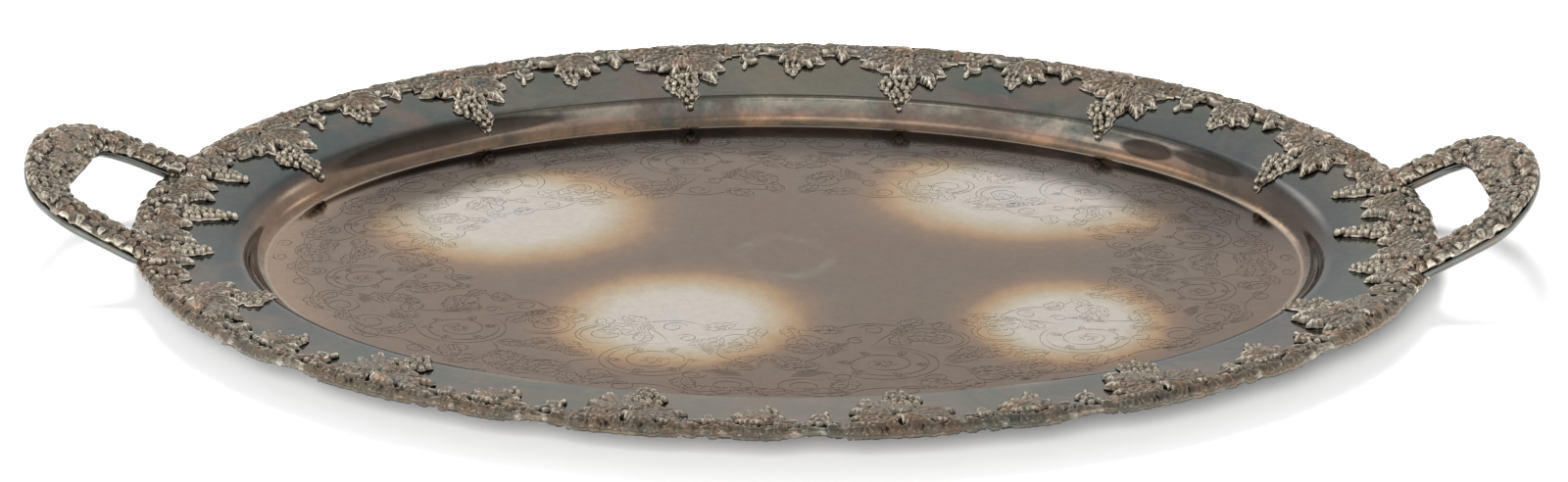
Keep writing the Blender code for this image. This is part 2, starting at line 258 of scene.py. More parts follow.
class Relief:
    """A height field in millimetres. Height 0 is empty, and the bed is at height 0."""

    def __init__(self, low_u, high_u, low_w, high_w):
        self.us = np.arange(low_u, high_u + STEP / 2, STEP)
        self.ws = np.arange(low_w, high_w + STEP / 2, STEP)
        self.u, self.w = np.meshgrid(self.us, self.ws, indexing="ij")
        self.h = np.zeros_like(self.u)
        self.kind = np.zeros_like(self.u)
        self.copper = np.zeros_like(self.u)

    def window(self, u, w, reach):
        i0, i1 = np.searchsorted(self.us, (u - reach, u + reach))
        j0, j1 = np.searchsorted(self.ws, (w - reach, w + reach))
        return slice(i0, i1), slice(j0, j1)

    def raise_to(self, at, height, kind, copper=0.0):
        higher = height > self.h[at]
        self.h[at] = np.where(higher, height, self.h[at])
        self.kind[at] = np.where(higher, kind, self.kind[at])
        self.copper[at] = np.where(higher, copper, self.copper[at])

    def turned(self, at, u, w, heading):
        """Coordinates ahead of and to the left of a place, its heading in degrees."""
        c, s = math.cos(math.radians(heading)), math.sin(math.radians(heading))
        du, dw = self.u[at] - u, self.w[at] - w
        return du * c + dw * s, dw * c - du * s

    def grape(self, u, w, radius, z):
        at = self.window(u, w, radius + 1)
        d = np.hypot(self.u[at] - u, self.w[at] - w)
        ball = z + np.sqrt(np.maximum(radius ** 2 - d ** 2, 0))
        self.raise_to(at, np.where(d < radius, ball, 0), GRAPE)
        self.raise_to(at, np.where(d < radius + 0.3, max(z * 0.5, 0.8), 0), GRAPE)

    def bud(self, u, w, heading, length, width, z, kind=STEM, copper=0.0):
        """Egg-shaped swelling with a seam along it."""
        at = self.window(u, w, max(length, width) + 1)
        a, b = self.turned(at, u, w, heading)
        q = (a / length) ** 2 + (b / (width * (1 - 0.25 * a / length))) ** 2
        ball = z * (0.35 + 0.65 * np.sqrt(np.maximum(1 - q, 0)))
        ball = ball - 0.45 * np.exp(-(b / 0.5) ** 2) * (a > -0.2 * length)
        self.raise_to(at, np.where(q < 1, ball, 0), kind, copper)

    def stem(self, points, radius, z, knots=0.0):
        """Round stem through points, each (u, w), that may swell at each point."""
        path = smooth_curve(points, 7)
        for i in range(len(path) - 1):
            (u0, w0), (u1, w1) = path[i], path[i + 1]
            at = self.window(0.5 * (u0 + u1), 0.5 * (w0 + w1),
                             radius * 1.5 + math.hypot(u1 - u0, w1 - w0))
            du, dw = u1 - u0, w1 - w0
            t = ((self.u[at] - u0) * du + (self.w[at] - w0) * dw) / (du * du + dw * dw + 1e-9)
            t = np.clip(t, 0, 1)
            d = np.hypot(self.u[at] - u0 - t * du, self.w[at] - w0 - t * dw)
            r = radius * (1 + knots * abs(math.cos(math.pi * (i + 0.5) / 7)) ** 6)
            tube = z + np.sqrt(np.maximum(r * r - d * d, 0))
            self.raise_to(at, np.where(d < r, tube, 0), STEM)

    def leaf(self, u, w, heading, size, seed):
        """Vine leaf with five toothed lobes. Heading is where its tip points, 90 = inward."""
        at = self.window(u, w, size * 1.2)
        a, b = self.turned(at, u, w, heading)
        b = b / 1.15
        reach, turn = np.hypot(a, b), np.arctan2(b, a)
        outline = 0.86 * (0.82 + 0.18 * np.cos(turn))
        puff = np.zeros_like(reach)
        ridge = np.zeros_like(reach)
        rng = np.random.default_rng(seed)
        for centre, length, width in LOBES:
            length = length * rng.uniform(0.9, 1.06)
            away = (turn - centre + math.pi) % (2 * math.pi) - math.pi
            lobe = np.cos(np.clip(away / width, -1, 1) * math.pi / 2)
            outline = np.maximum(outline, length * lobe ** 0.5)
            puff = np.maximum(puff, lobe)
            side = np.abs(reach * np.sin(away))
            along = reach * np.cos(away)
            near = (np.abs(away) < 0.56) & (along > 0)
            vein = 0.34 * np.exp(-(side / 0.42) ** 2)
            comb = 0.07 * np.cos(2 * math.pi * (along - 0.9 * side) / 2.2)
            ridge = np.where(near, vein + comb * np.clip(side / 0.9, 0, 1), ridge)
        count = max(int(size * 1.7), 11)
        tooth = np.cos(turn * count + seed)
        k = reach / (size * outline * (1 + 0.05 * tooth + 0.03 * np.cos(turn * 31 + 2 * seed)))
        body = np.sqrt(np.maximum(1 - k ** 2.4, 0))
        swell = 1.5 * (0.32 + 0.68 * puff ** 0.8) * body
        bead = 0.42 * np.clip((k - 0.74) / 0.14, 0, 1) * np.clip(0.35 + 0.8 * tooth, 0, 1)
        height = (0.9 + swell + bead + ridge * np.clip(3 * (1 - k), 0, 1)
                  + 0.45 * value_noise(self.u[at], self.w[at], 4.4, seed + 5))
        height = np.maximum(height, 0.9)
        warm = 0.3 * np.clip(1.4 - 1.5 * k, 0, 1)
        self.raise_to(at, np.where(k < 1, height, 0), LEAF, warm)

    def lobe(self, u, w, heading, length, half, lift, dome, copper, bend, seed):
        """One long lobe of a big vine leaf: a rounded blade with a vein, ribs and teeth."""
        at = self.window(u, w, length + half)
        a, b = self.turned(at, u, w, heading)
        t = np.clip(a / length, 0, 1)
        b = b - bend * length * t ** 2
        tooth = np.cos(2 * math.pi * a / 2.7 + seed)
        blade = 0.88 * half * np.sqrt(1 - t ** 3) * (0.45 + 0.55 * np.sin(math.pi * t ** 0.8))
        blade = blade * (1 + 0.12 * tooth) + 1e-3
        behind = np.clip(-a / (0.5 * half), 0, 2)
        k = np.hypot(b / blade, behind)
        body = np.sqrt(np.maximum(1 - k ** 2.2, 0))
        swell = 1.2 * dome * (0.16 + 0.84 * body) * np.clip(4.5 * (1 - t), 0, 1) ** 0.5
        swell -= 0.55 * np.exp(-(b / 0.55) ** 2) * np.clip(3 * (1 - t), 0, 1)
        ribs = np.cos(2 * math.pi * (a - 1.0 * np.abs(b)) / 4.8 + 0.7 * seed)
        swell += 0.17 * ribs * np.clip(np.abs(b) / 1.5, 0, 1) * body
        swell += 0.5 * np.clip((k - 0.68) / 0.14, 0, 1) * np.clip(0.2 + tooth, 0, 1)
        height = lift + swell - 0.4 * t + 0.4 * value_noise(self.u[at], self.w[at], 4.6, seed)
        inside = (k < 1) & (a < length)
        warm = copper * np.clip(1.3 - 1.2 * k, 0, 1)
        self.raise_to(at, np.where(inside, np.maximum(height, 0.9), 0), LEAF, warm)

    def leaves(self, *rows):
        for row in rows:
            self.leaf(*row)

    def lobes(self, *rows):
        for row in rows:
            self.lobe(*row)

    def puffs(self, low_u, high_u, low_w, high_w, pitch, lift, seed):
        """Close-set small rounded leaves, each a swelling with a seam."""
        rng = np.random.default_rng(seed)
        for i, u in enumerate(np.arange(low_u, high_u, pitch)):
            for w in np.arange(low_w + (0.5 * pitch if i % 2 else 0), high_w, pitch):
                at_u, at_w = u + rng.uniform(-0.9, 0.9), w + rng.uniform(-0.9, 0.9)
                heading, grow = rng.uniform(0, 360), rng.uniform(0.44, 0.74)
                warm = rng.uniform(0, 1)
                self.bud(at_u, at_w, heading, pitch * grow, pitch * grow * 0.74,
                         lift + rng.uniform(1.6, 2.6), LEAF, warm ** 2)

    def bunch(self, u, w, heading, length, width, radius, z, seed=0):
        """Bunch of grapes that tapers from a broad shoulder to one grape at its tip."""
        rng = np.random.default_rng(seed)
        c, s = math.cos(math.radians(heading)), math.sin(math.radians(heading))
        pitch, sway = radius * 2.0, 0.4 * radius
        rows = max(int(round(length / (pitch * 0.86))) + 1, 2)
        for row in range(rows):
            t = row / (rows - 1)
            half = 0.5 * width * (1 - 0.86 * t ** 1.3) * (0.8 + 0.2 * min(4 * t, 1))
            count = max(int(round(2 * half / pitch + (0.4 if row % 2 else 0.6))), 1)
            for k in range(count):
                across = (k - (count - 1) / 2) * pitch + sway * math.sin(5 * t + seed)
                spread = abs(across) / (0.5 * width + 1e-6)
                rise = z * (1 - 0.5 * spread ** 2) * (1 - 0.3 * t)
                a = t * length + rng.uniform(-0.4, 0.4) * radius
                b = across + rng.uniform(-0.34, 0.34) * radius
                self.grape(u + a * c - b * s, w + a * s + b * c,
                           radius * rng.uniform(0.88, 1.08), rise + rng.uniform(-0.6, 0.55))

    def berries(self, u, w, count, radius, z, seed=0):
        """Small round handful of berries."""
        for k in range(count):
            angle = 2.4 * k + seed
            reach = radius * 1.25 * math.sqrt(k)
            self.grape(u + reach * math.cos(angle), w + reach * math.sin(angle), radius,
                       z - 0.12 * k)

    def curl(self, u, w, radius, turns, start, thick, z):
        """Tendril wound into a flat spiral."""
        steps = int(14 * turns)
        points = []
        for i in range(steps + 1):
            t = i / steps
            angle = math.radians(start) + 2 * math.pi * turns * t
            r = radius * (1 - 0.82 * t)
            points.append((u + r * math.cos(angle), w + r * math.sin(angle)))
        self.stem(points, thick, z)

    def ground(self, low_u, high_u, low_w, high_w, height, wave=1.0, seed=3):
        """Thin base plate with a wandering inner edge."""
        edge = high_w + wave * value_noise(self.u, self.w * 0, 6.0, seed)
        outer = low_w + 0.4 * wave * value_noise(self.u, self.w * 0, 5.0, seed + 1)
        inside = (self.u > low_u) & (self.u < high_u) & (self.w > outer) & (self.w < edge)
        rough = height + 0.22 * value_noise(self.u, self.w, 1.6, seed + 2)
        self.raise_to(EVERYWHERE, np.where(inside, rough, 0), PLATE)

    def settle(self, low_u, high_u, edge=0.85, slope=1.5, plate=0.75, on_rim=True):
        """Slopes the outer sides down, adds the thin plate round them and cuts the ends.

        Those on the rim are level with their neighbours there.
        """
        solid = self.h > 0
        inner = distance_to(~solid, 4.0)
        self.h = np.where(solid, np.minimum(self.h, edge + slope * inner), 0)
        apart = np.minimum(np.abs(self.u - low_u), np.abs(self.u - high_u))
        if on_rim:
            ceiling = 2.9 + 0.4 * np.clip(self.w, 0, 9)
            self.h = np.where(self.h > ceiling, ceiling + 0.35 * (self.h - ceiling), self.h)
            fold = 1.5 + 1.0 * value_noise(self.u, self.w * 0, 4.2, 71)
            over = np.clip((0.4 - self.w) / 2.4, 0, 0.5)
            self.h = np.where(self.h > 0,
                              self.h * (1 - over) + np.clip(fold, 0.8, 2.4) * over, 0)
            joint = np.clip(1 - apart / 1.8, 0, 1) ** 0.7
            self.h = np.where(self.h > 0, self.h * (1 - joint) + SEAM_HEIGHT * joint, 0)
        outer = distance_to(solid, 3.0)
        ragged = plate + 0.3 * value_noise(self.u, self.w, 2.2, 77)
        thin = (outer > 0) & (outer < ragged)
        self.h = np.where(thin, PLATE_HEIGHT, self.h)
        self.kind = np.where(thin, PLATE, self.kind)
        self.h[(self.u < low_u - OVERLAP) | (self.u > high_u + OVERLAP)] = 0
        self.seam = np.clip(1 - apart / 3.0, 0, 1)


def smooth_curve(points, steps):
    """Catmull-Rom curve through points of any number of values."""
    rows = [np.array(p, float) for p in points]
    rows = [2 * rows[0] - rows[1], *rows, 2 * rows[-1] - rows[-2]]
    curve = []
    for p0, p1, p2, p3 in zip(rows, rows[1:], rows[2:], rows[3:]):
        for step in range(steps):
            t = step / steps
            curve.append(0.5 * (2 * p1 + (p2 - p0) * t + (2 * p0 - 5 * p1 + 4 * p2 - p3) * t * t
                                + (3 * p1 - p0 - 3 * p2 + p3) * t ** 3))
    curve.append(rows[-2])
    return np.array(curve)


def box_blur(field, cells):
    padded = np.pad(field, cells, mode="edge")
    size = 2 * cells + 1
    for _ in (0, 1):
        total = np.insert(np.cumsum(padded, axis=0), 0, 0, axis=0)
        padded = ((total[size:] - total[:-size]) / size).T
    return padded


def relief_mesh(relief):
    """Flat vertices (u, w, h), faces and per-vertex values of a closed relief."""
    solid = relief.h > 0
    cell = solid[:-1, :-1] & solid[1:, :-1] & solid[1:, 1:] & solid[:-1, 1:]
    cell = biggest_patch(cell)
    used = np.zeros_like(solid)
    for di, dj in ((0, 0), (1, 0), (1, 1), (0, 1)):
        used[di:di + cell.shape[0], dj:dj + cell.shape[1]] |= cell
    index = np.full(solid.shape, -1)
    index[used] = np.arange(used.sum())
    i, j = np.nonzero(cell)
    quads = np.stack([index[i, j], index[i + 1, j], index[i + 1, j + 1], index[i, j + 1]], -1)
    flat = np.stack([relief.u[used], relief.w[used]], -1)
    loops = boundary_loops(quads)
    for loop in loops:
        for _ in range(3):
            ring = flat[loop]
            flat[loop] = 0.5 * ring + 0.25 * (np.roll(ring, 1, 0) + np.roll(ring, -1, 0))
    height = relief.h[used]
    wide, near = relief.h - box_blur(relief.h, 7), relief.h - box_blur(relief.h, 2)
    cavity = ((0.75 * wide + 0.5 * near) * (1 - relief.seam) - 0.15 * relief.seam)[used]
    top = np.column_stack([flat, height])
    values = np.column_stack([height, cavity, relief.kind[used], relief.copper[used]])
    bed, bed_faces, rims = bed_of(flat, loops, len(top))
    faces = [tuple(q) for q in quads]
    faces += bed_faces
    for loop, rim in zip(loops, rims):
        faces += band(rim, loop)
    return np.vstack([top, bed]), faces, np.vstack([values, np.tile(BED_VALUES, (len(bed), 1))])


def biggest_patch(cell):
    """Keeps the largest patch of cells that touch by their sides."""
    label = np.where(cell, np.arange(cell.size).reshape(cell.shape) + 1, 0)
    while True:
        grown = label
        for _, moved in moved_copies(label, 0, 1.2):
            grown = np.maximum(grown, moved)
        grown = np.where(cell, grown, 0)
        if (grown == label).all():
            break
        label = grown
    names, counts = np.unique(label[cell], return_counts=True)
    return label == names[counts.argmax()]


def boundary_loops(quads):
    """Closed loops of the edges that only one quad uses, in the quads' own direction."""
    edges = {}
    for q in quads.tolist():
        for k in range(4):
            a, b = q[k], q[(k + 1) % 4]
            if (b, a) in edges:
                del edges[(b, a)]
            else:
                edges[(a, b)] = True
    following = {}
    for a, b in edges:
        following.setdefault(a, []).append(b)
    loops = []
    while following:
        start = next(iter(following))
        loop, here = [], start
        while True:
            loop.append(here)
            options = following[here]
            there = options.pop()
            if not options:
                del following[here]
            if there == start:
                break
            here = there
        loops.append(loop)
    return loops


def bed_of(flat, loops, first):
    """Triangles that close the bottom at height 0, and each loop's vertices there."""
    points, edges, rims = [], [], []
    for loop in loops:
        base = len(points)
        count = len(loop)
        points += [Vector(flat[v]) for v in loop]
        edges += [(base + k, base + (k + 1) % count) for k in range(count)]
        rims.append([first + base + k for k in range(count)])
    border = len(points)
    lo, hi = flat.min(0), flat.max(0)
    for u in np.arange(lo[0] + 2, hi[0], 4.0):
        for w in np.arange(lo[1] + 2, hi[1], 4.0):
            if np.hypot(flat[loops[0], 0] - u, flat[loops[0], 1] - w).min() > 1.2:
                points.append(Vector((u, w)))
    verts, _, tris, origins, _, _ = delaunay_2d_cdt(points, edges, [], 4, 1e-6)
    place = {}
    bed = [(p.x, p.y, 0.0) for p in points[:border]]
    for k, (v, source) in enumerate(zip(verts, origins)):
        known = [s for s in source if s < border]
        if known:
            place[k] = known[0]
        else:
            place[k] = len(bed)
            bed.append((v.x, v.y, 0.0))
    faces = [tuple(first + place[k] for k in reversed(t)) for t in tris]
    faces = [f for f in faces if len(set(f)) == len(f)]
    return np.array(bed), faces, rims


def lay_relief(name, model, place, material, node):
    flat, faces, values = model
    verts = place(flat[:, 0], flat[:, 1], flat[:, 2])
    obj = add_mesh(name, verts, faces, material, node)
    for k, key in enumerate(("relief", "cavity", "kind", "copper")):
        put_values(obj, key, values[:, k])


# ------------------------------------------------------------------ the border's castings

LEAF_FROM, LEAF_TO = -31.5, 23.2        # ends of a leaf casting, along the rim
LINK_TO = 72.7                          # far end of a link casting
SEAM = 0.3                              # between a leaf casting and the next one


def leaf_casting(bunch_length, bunch_rise):
    """A large vine leaf folded over the rim, with a bunch of grapes hanging inward."""
    r = Relief(-34, 26, -3.6, 60)
    r.ground(-40, 40, -2.6, 11.0, 1.0)
    r.stem([(-36, -0.8), (-31, -1.3), (-26, -0.4)], 1.4, 0.8, 0.35)
    r.stem([(17, -0.4), (21, -1.3), (28, -0.8)], 1.4, 0.8, 0.35)
    r.leaves((-26.5, 1, 250, 6, 301), (-19, -0.2, 285, 7.5, 302), (-10.5, 0.4, 262, 6.5, 303),
             (-3, -0.4, 290, 8, 304), (5, 0.2, 255, 7, 305), (13, 0.4, 280, 7.5, 306),
             (20.5, 1.4, 265, 5.5, 307))
    r.puffs(-33, 25, 2.5, 10, 5.4, 0.6, 21)
    r.lobes((-10, 10, 154, 22, 8, 1.3, 2.1, 0.25, 0.1, 11),
            (-12, 9, 186, 17, 6, 1.5, 1.9, 0.35, -0.06, 12),
            (-10, 12, 124, 14, 6.5, 1.5, 2, 0.3, 0.08, 13),
            (1, 10, 12, 19, 6.5, 1.4, 2, 0.25, -0.1, 14),
            (2, 13, 34, 20, 6.5, 1.6, 2, 0.2, -0.05, 15),
            (2, 16, 66, 23, 5.6, 1.7, 2.1, 0.35, -0.12, 16),
            (0, 15, 88, 20, 5, 1.5, 2, 0.3, -0.12, 17),
            (8, 24, 40, 10, 4.2, 1.6, 1.8, 0.2, 0.1, 18))
    r.bunch(-7.5, 30.5, 80, bunch_length, 19.0, 1.95, bunch_rise, seed=1)
    r.lobes((-6, 13, 108, 15.5, 5, 2.2, 2, 0.8, 0.05, 19),
            (-3, 14, 82, 14, 4.6, 2.4, 2, 0.7, -0.1, 20),
            (-4, 7, 200, 15, 6.5, 2, 2.4, 1, 0.1, 21), (-6, 6, 232, 9.5, 4.6, 1.9, 2, 0.6, 0, 22),
            (-1, 6, 325, 12, 5, 2, 2, 0.7, 0.05, 23), (6, 5, 352, 13, 4.6, 1.7, 1.8, 0.4, 0, 24),
            (-19, 5, 190, 10, 4.2, 1.7, 1.8, 0.4, 0, 25))
    r.berries(-4.5, 12.5, 6, 1.7, 2.6, 0.5)
    r.bud(9, 0.5, 20, 3.4, 2.4, 2.9)
    r.settle(LEAF_FROM, LEAF_TO)
    return r


def link_casting():
    """A length of vine with a curled tendril, a small leaf with grapes and a knot."""
    r = Relief(-2, 75, -3.6, 38)
    r.ground(-9, 90, -2.5, 8.0, 1.0, 1.8, seed=31)
    r.stem([(-9, -1.0), (3, -1.2), (14, -0.6), (22, -1.4), (29, -0.2)], 1.4, 0.8, 0.35)
    r.stem([(48, -0.2), (54, -1.4), (62, -0.9), (70, -1.5), (78, -0.9)], 1.4, 0.8, 0.35)
    r.leaves((31, 0.4, 260, 6, 311), (38.5, -0.4, 285, 7, 312), (46, 0.4, 265, 6.5, 313),
             (58.5, 1, 280, 5.5, 314), (69.5, 1, 255, 5.5, 315))
    r.puffs(-2, 7, 2.5, 6.5, 4.8, 0.3, 41)
    r.puffs(21, 75, 2.5, 7.5, 5.0, 0.4, 42)
    r.stem([(-3, 5), (2, 4.0), (6, 5.5), (11, 4.0)], 1.6, 1.2, 0.3)
    r.stem([(5.0, -0.5), (6.5, 4), (9.0, 8.8)], 1.7, 1.5, 0.2)
    r.stem([(16.8, -0.5), (15, 4.5), (11.0, 9.3)], 1.6, 1.5, 0.2)
    r.bud(4.4, 0.6, 80, 3.3, 2.6, 3.6)
    r.bud(17.0, 1.0, 100, 3.0, 2.6, 3.4)
    r.curl(9.8, 11.8, 4.6, 1.5, 40, 1.3, 1.4)
    r.grape(9.7, 11.8, 1.7, 2.0)
    r.stem([(8.0, 16), (7.6, 18.5), (7.0, 20.5)], 1.35, 0.8)
    r.stem([(18, 3), (22.5, 6.2), (29, 6.8), (36, 6.2)], 2.0, 1.2, 0.15)
    r.lobes((39, 8, 30, 16, 6, 1.4, 2.1, 0.5, 0.05, 32),
            (38, 9, 62, 14.5, 5.5, 1.5, 2, 0.35, -0.1, 33),
            (35, 8, 140, 11, 4.6, 1.3, 1.8, 0.3, 0, 34))
    r.bunch(34.5, 15.5, 86, 12.0, 11.0, 1.6, 1.3, seed=4)
    r.lobes((36, 7, 95, 12, 4.8, 2, 2, 0.5, 0, 35), (38, 5, 10, 13, 4.2, 1.8, 1.8, 0.6, 0, 36))
    r.stem([(52, 7), (58, 5.2), (64, 5.6), (76, 6)], 1.7, 1.2, 0.3)
    r.lobes((60, 4, 60, 10, 4.2, 1.4, 2, 0.5, 0.1, 38),
            (63, 4, 100, 11, 4.6, 1.5, 2, 0.4, -0.1, 39),
            (56, 4, 190, 8, 3.8, 1.5, 1.8, 0.4, 0, 40),
            (30, 3, 185, 8, 3.8, 1.5, 1.8, 0.4, 0, 41))
    r.bud(70, 1.5, 90, 3.2, 2.8, 3.4, LEAF, 0.6)
    r.settle(0, LINK_TO)
    return r


def end_casting(low, high):
    """The leafy casting below a handle, with three bunches that point into the tray."""
    r = Relief(low - 2, high + 2, -4.5, 52)
    r.ground(low - 9, high + 9, -2.8, 12.0, 1.0, 1.8, seed=51)
    r.puffs(low, high, 0.0, 17.0, 6.0, 0.6, 52)
    for u, w, heading, length, half, copper, seed in (
            (-74, 6, 110, 14, 5.5, 0.4, 61), (-62, 7, 70, 16, 6.0, 0.5, 62),
            (-57, 9, 110, 17, 5.5, 0.3, 63), (-33, 8, 60, 20, 6.5, 0.35, 64),
            (-29, 9, 100, 20, 6.0, 0.4, 65), (-12, 8, 80, 18, 6.0, 0.3, 66),
            (-16, 9, 125, 17, 5.5, 0.4, 72), (22, 9, 60, 18, 6.0, 0.4, 67),
            (33, 9, 100, 21, 6.5, 0.4, 68), (37, 8, 70, 19, 6.0, 0.3, 69),
            (69, 6, 100, 15, 5.5, 0.4, 70), (78, 5, 60, 13, 5.0, 0.4, 71)):
        r.lobe(u, w, heading, length, half, 1.3, 2.1, copper, 0.06, seed)
    for u, w, heading, length, half, copper, seed in (
            (-66, 3, 40, 12, 5.0, 0.6, 90), (-52, 6, 150, 14, 6.0, 0.8, 81),
            (-44, 4, 220, 11, 5.0, 0.6, 82), (-30, 6, 310, 12, 5.5, 0.7, 83),
            (-20, 5, 160, 13, 5.5, 0.6, 84), (-4, 8, 110, 13, 6.0, 0.6, 85),
            (12, 8, 50, 14, 6.0, 0.6, 86), (24, 5, 240, 10, 5.0, 0.7, 87),
            (40, 8, 130, 14, 5.5, 0.6, 88), (49, 5, 60, 13, 5.5, 0.8, 89),
            (62, 4, 110, 12, 5.0, 0.5, 91), (75, 3, 150, 10, 4.5, 0.5, 92)):
        r.lobe(u, w, heading, length, half, 1.9, 2.3, copper, 0, seed)
    r.bunch(-45.0, 16.0, 97, 18.0, 13.0, 1.85, 2.2, seed=6)
    r.bunch(4.5, 20.0, 80, 25.0, 14.5, 1.9, 2.3, seed=7)
    r.bunch(58.0, 15.5, 76, 18.0, 13.0, 1.85, 2.2, seed=8)
    for u, w in ((-34, 3), (-21, 12), (8, 4), (31, 13), (44, 2), (68, 9)):
        r.berries(u, w, 5, 1.5, 2.7, u)
    r.bud(3, -1.5, 90, 3.2, 2.8, 3.6)
    r.settle(low, high)
    return r


# ------------------------------------------------------------------ handles

HANDLE_TILT = 0.5                       # rise for each millimetre outward
HANDLE_RISE_X, HANDLE_Z = 311.8, 21.9   # place and height where the rise starts
HANDLE_BACK = 6.8                       # depth of the backing
CROWN = 3.6                             # height of the leafwork's rounded core
# Centre lines as (outward, backward, half width), from front to back.
HANDLE_PATHS = {
    "left": [
        (304, -50, 9.5), (318, -48.5, 9.0), (336, -46.5, 8.8), (350, -43.5, 9.2),
        (361, -36, 9.8), (366.5, -22, 11.0), (367.5, -5, 13.5), (366.5, 12, 14.5),
        (362.5, 28, 12.5), (354, 39.5, 10.0), (340, 45, 8.6), (320, 48, 8.6), (304, 50, 9.5)],
    "right": [
        (304, -47, 9.5), (318, -43.5, 9.2), (336, -40.5, 9.2), (350, -35.5, 9.6),
        (359, -25, 10.0), (363.5, -10, 12.0), (364, 8, 14.2), (362, 26, 14.5),
        (357.5, 42, 12.5), (349, 53.5, 10.0), (337, 57.5, 8.6), (320, 57, 8.6), (304, 56, 9.5)]}


class HandlePath:
    """A handle's centre line in its tilted plane, with its half width."""

    def __init__(self, hand):
        curve = smooth_curve(HANDLE_PATHS[hand], 24)
        z = HANDLE_Z + HANDLE_TILT * (curve[:, 0] - HANDLE_RISE_X)
        self.flip = np.array([-1.0 if hand == "left" else 1.0, 1.0, 1.0])
        self.points = np.column_stack([curve[:, :2], z])
        self.half = curve[:, 2]
        steps = np.linalg.norm(np.diff(self.points, axis=0), axis=1)
        self.lengths = np.concatenate([[0], np.cumsum(steps)])
        self.total = self.lengths[-1]
        self.normal = np.array([-HANDLE_TILT, 0, 1]) / math.hypot(HANDLE_TILT, 1)
        ahead = np.gradient(self.points, axis=0)
        for _ in range(10):
            ahead[1:-1] = (ahead[:-2] + 2 * ahead[1:-1] + ahead[2:]) / 4
        ahead /= np.linalg.norm(ahead, axis=1)[:, None]
        self.sides = np.cross(self.normal, ahead)

    def sample(self, rows, u):
        if rows.ndim == 1:
            return np.interp(u, self.lengths, rows)
        return np.stack([np.interp(u, self.lengths, rows[:, k]) for k in range(3)], -1)

    def place(self, u, w, h):
        """Lays flat (along the handle, towards its opening, height) in its place."""
        centre, side = self.sample(self.points, u), self.sample(self.sides, u)
        spot = centre + side * w[:, None] + self.normal * h[:, None]
        return spot * self.flip * MM

    def place_on_crown(self, u, w, h):
        """Lays a relief on the rounded top of the handle."""
        half = self.sample(self.half, u)
        k = np.clip(w / half, -1, 1)
        crown = CROWN * np.sqrt(1 - k * k) - 0.3
        lean = 0.75 * k
        size = np.sqrt(1 + lean * lean)
        return self.place(u, w + h * lean / size, crown + h / size)


def handle_relief(path):
    """Leaves and grapes along the handle. Inward here is towards the hand's opening."""
    r = Relief(-2, path.total + 2, -17, 17)
    r.raise_to(EVERYWHERE, 0.9 + 0.25 * value_noise(r.u, r.w, 1.8, 15), PLATE)
    at = path.total
    rng = np.random.default_rng(9)
    r.puffs(1.0, at, -12.0, 13.0, 5.6, 0.5, 9)
    for k in range(26):
        u, w = at * (k + 0.5) / 26 + rng.uniform(-2, 2), rng.uniform(-7, 7)
        heading = (0 if u < 0.5 * at else 180) + rng.uniform(-60, 60)
        r.lobe(u, w, heading, rng.uniform(7, 11), rng.uniform(3.0, 4.2), 1.0, 2.1,
               rng.uniform(0, 0.9), 0, 130 + k)
    first = 0.30 * at
    for i in range(6):
        for j in range(5):
            u = first + 3.5 * i + (1.7 if j % 2 else 0)
            w = -10.5 + 3.4 * j
            r.grape(u + rng.uniform(-0.7, 0.7), w + rng.uniform(-0.7, 0.7),
                    rng.uniform(1.55, 1.9), 1.6 + rng.uniform(-0.4, 0.6))
    for share, w, heading, length, half, copper, seed in (
            (0.66, 3, 195, 13, 4.6, 0.5, 118), (0.66, -3, 165, 13, 4.6, 0.6, 117),
            (0.61, 6, 205, 14, 5.0, 0.7, 116), (0.60, -6, 160, 14, 5.0, 0.6, 115),
            (0.58, 0, 180, 17, 5.6, 1.0, 113), (0.54, 8, 190, 13, 4.6, 0.5, 112),
            (0.53, -8, 172, 13, 4.6, 0.8, 114), (0.50, 2, 186, 14, 5.2, 0.9, 111)):
        r.lobe(share * at, w, heading, length, half, 1.3, 2.2, copper, 0, seed)
    r.berries(0.47 * at, 11.5, 9, 1.4, 2.2)
    r.berries(0.60 * at, 10.0, 7, 1.4, 2.2)
    half = path.sample(path.half, r.us)[:, None]
    r.h = np.where(np.abs(r.w) < half + 0.25 * value_noise(r.u, r.w, 3.0, 8), r.h, 0)
    r.settle(0, path.total, 0.8, 1.8, 0.0, on_rim=False)
    return r


def make_backing(name, path, material, node):
    """Smooth half-round bar under the leafwork, its roots running in under the rim."""
    u = np.linspace(0, path.total, 150)
    half = path.sample(path.half, u) + 0.4
    fade = np.clip(np.minimum(u, path.total - u) / 16.0, 0.1, 1) ** 0.5
    angles = np.linspace(0, -math.pi, 22)
    ring = [(np.cos(a), math.copysign(abs(math.sin(a)) ** 0.85, math.sin(a))) for a in angles]
    ring += [(-0.92, 0.08), (0.92, 0.08)]
    rows = [path.place(u, half * c, -0.6 + (HANDLE_BACK - 0.6) * s * fade) for c, s in ring]
    verts = np.stack(rows, 1)
    count, size = verts.shape[:2]
    rings = [tuple(range(i * size, (i + 1) * size)) for i in range(count)]
    faces = sum(map(band, rings, rings[1:]), []) + [rings[0][::-1], rings[-1]]
    add_mesh(name, verts.reshape(-1, 3), faces, material, node)


# ------------------------------------------------------------------ the engraved sheet

GROOVE_HALF, GROOVE_DEPTH = 0.24, 0.15
REPEATS = 12                # of the scroll pattern round the floor
UNIT_WIDTH, UNIT_TOP = 74.0, 47.0       # of the scroll pattern
RING = 384                  # vertices round the sheet


def spiral(u, v, start_r, end_r, start, turns, hand):
    count = max(int(abs(turns) * 22), 6)
    t = np.linspace(0, 1, count)
    angle = math.radians(start) + hand * 2 * math.pi * turns * t
    r = start_r + (end_r - start_r) * t ** 0.8
    return np.column_stack([u + r * np.cos(angle), v + r * np.sin(angle)])


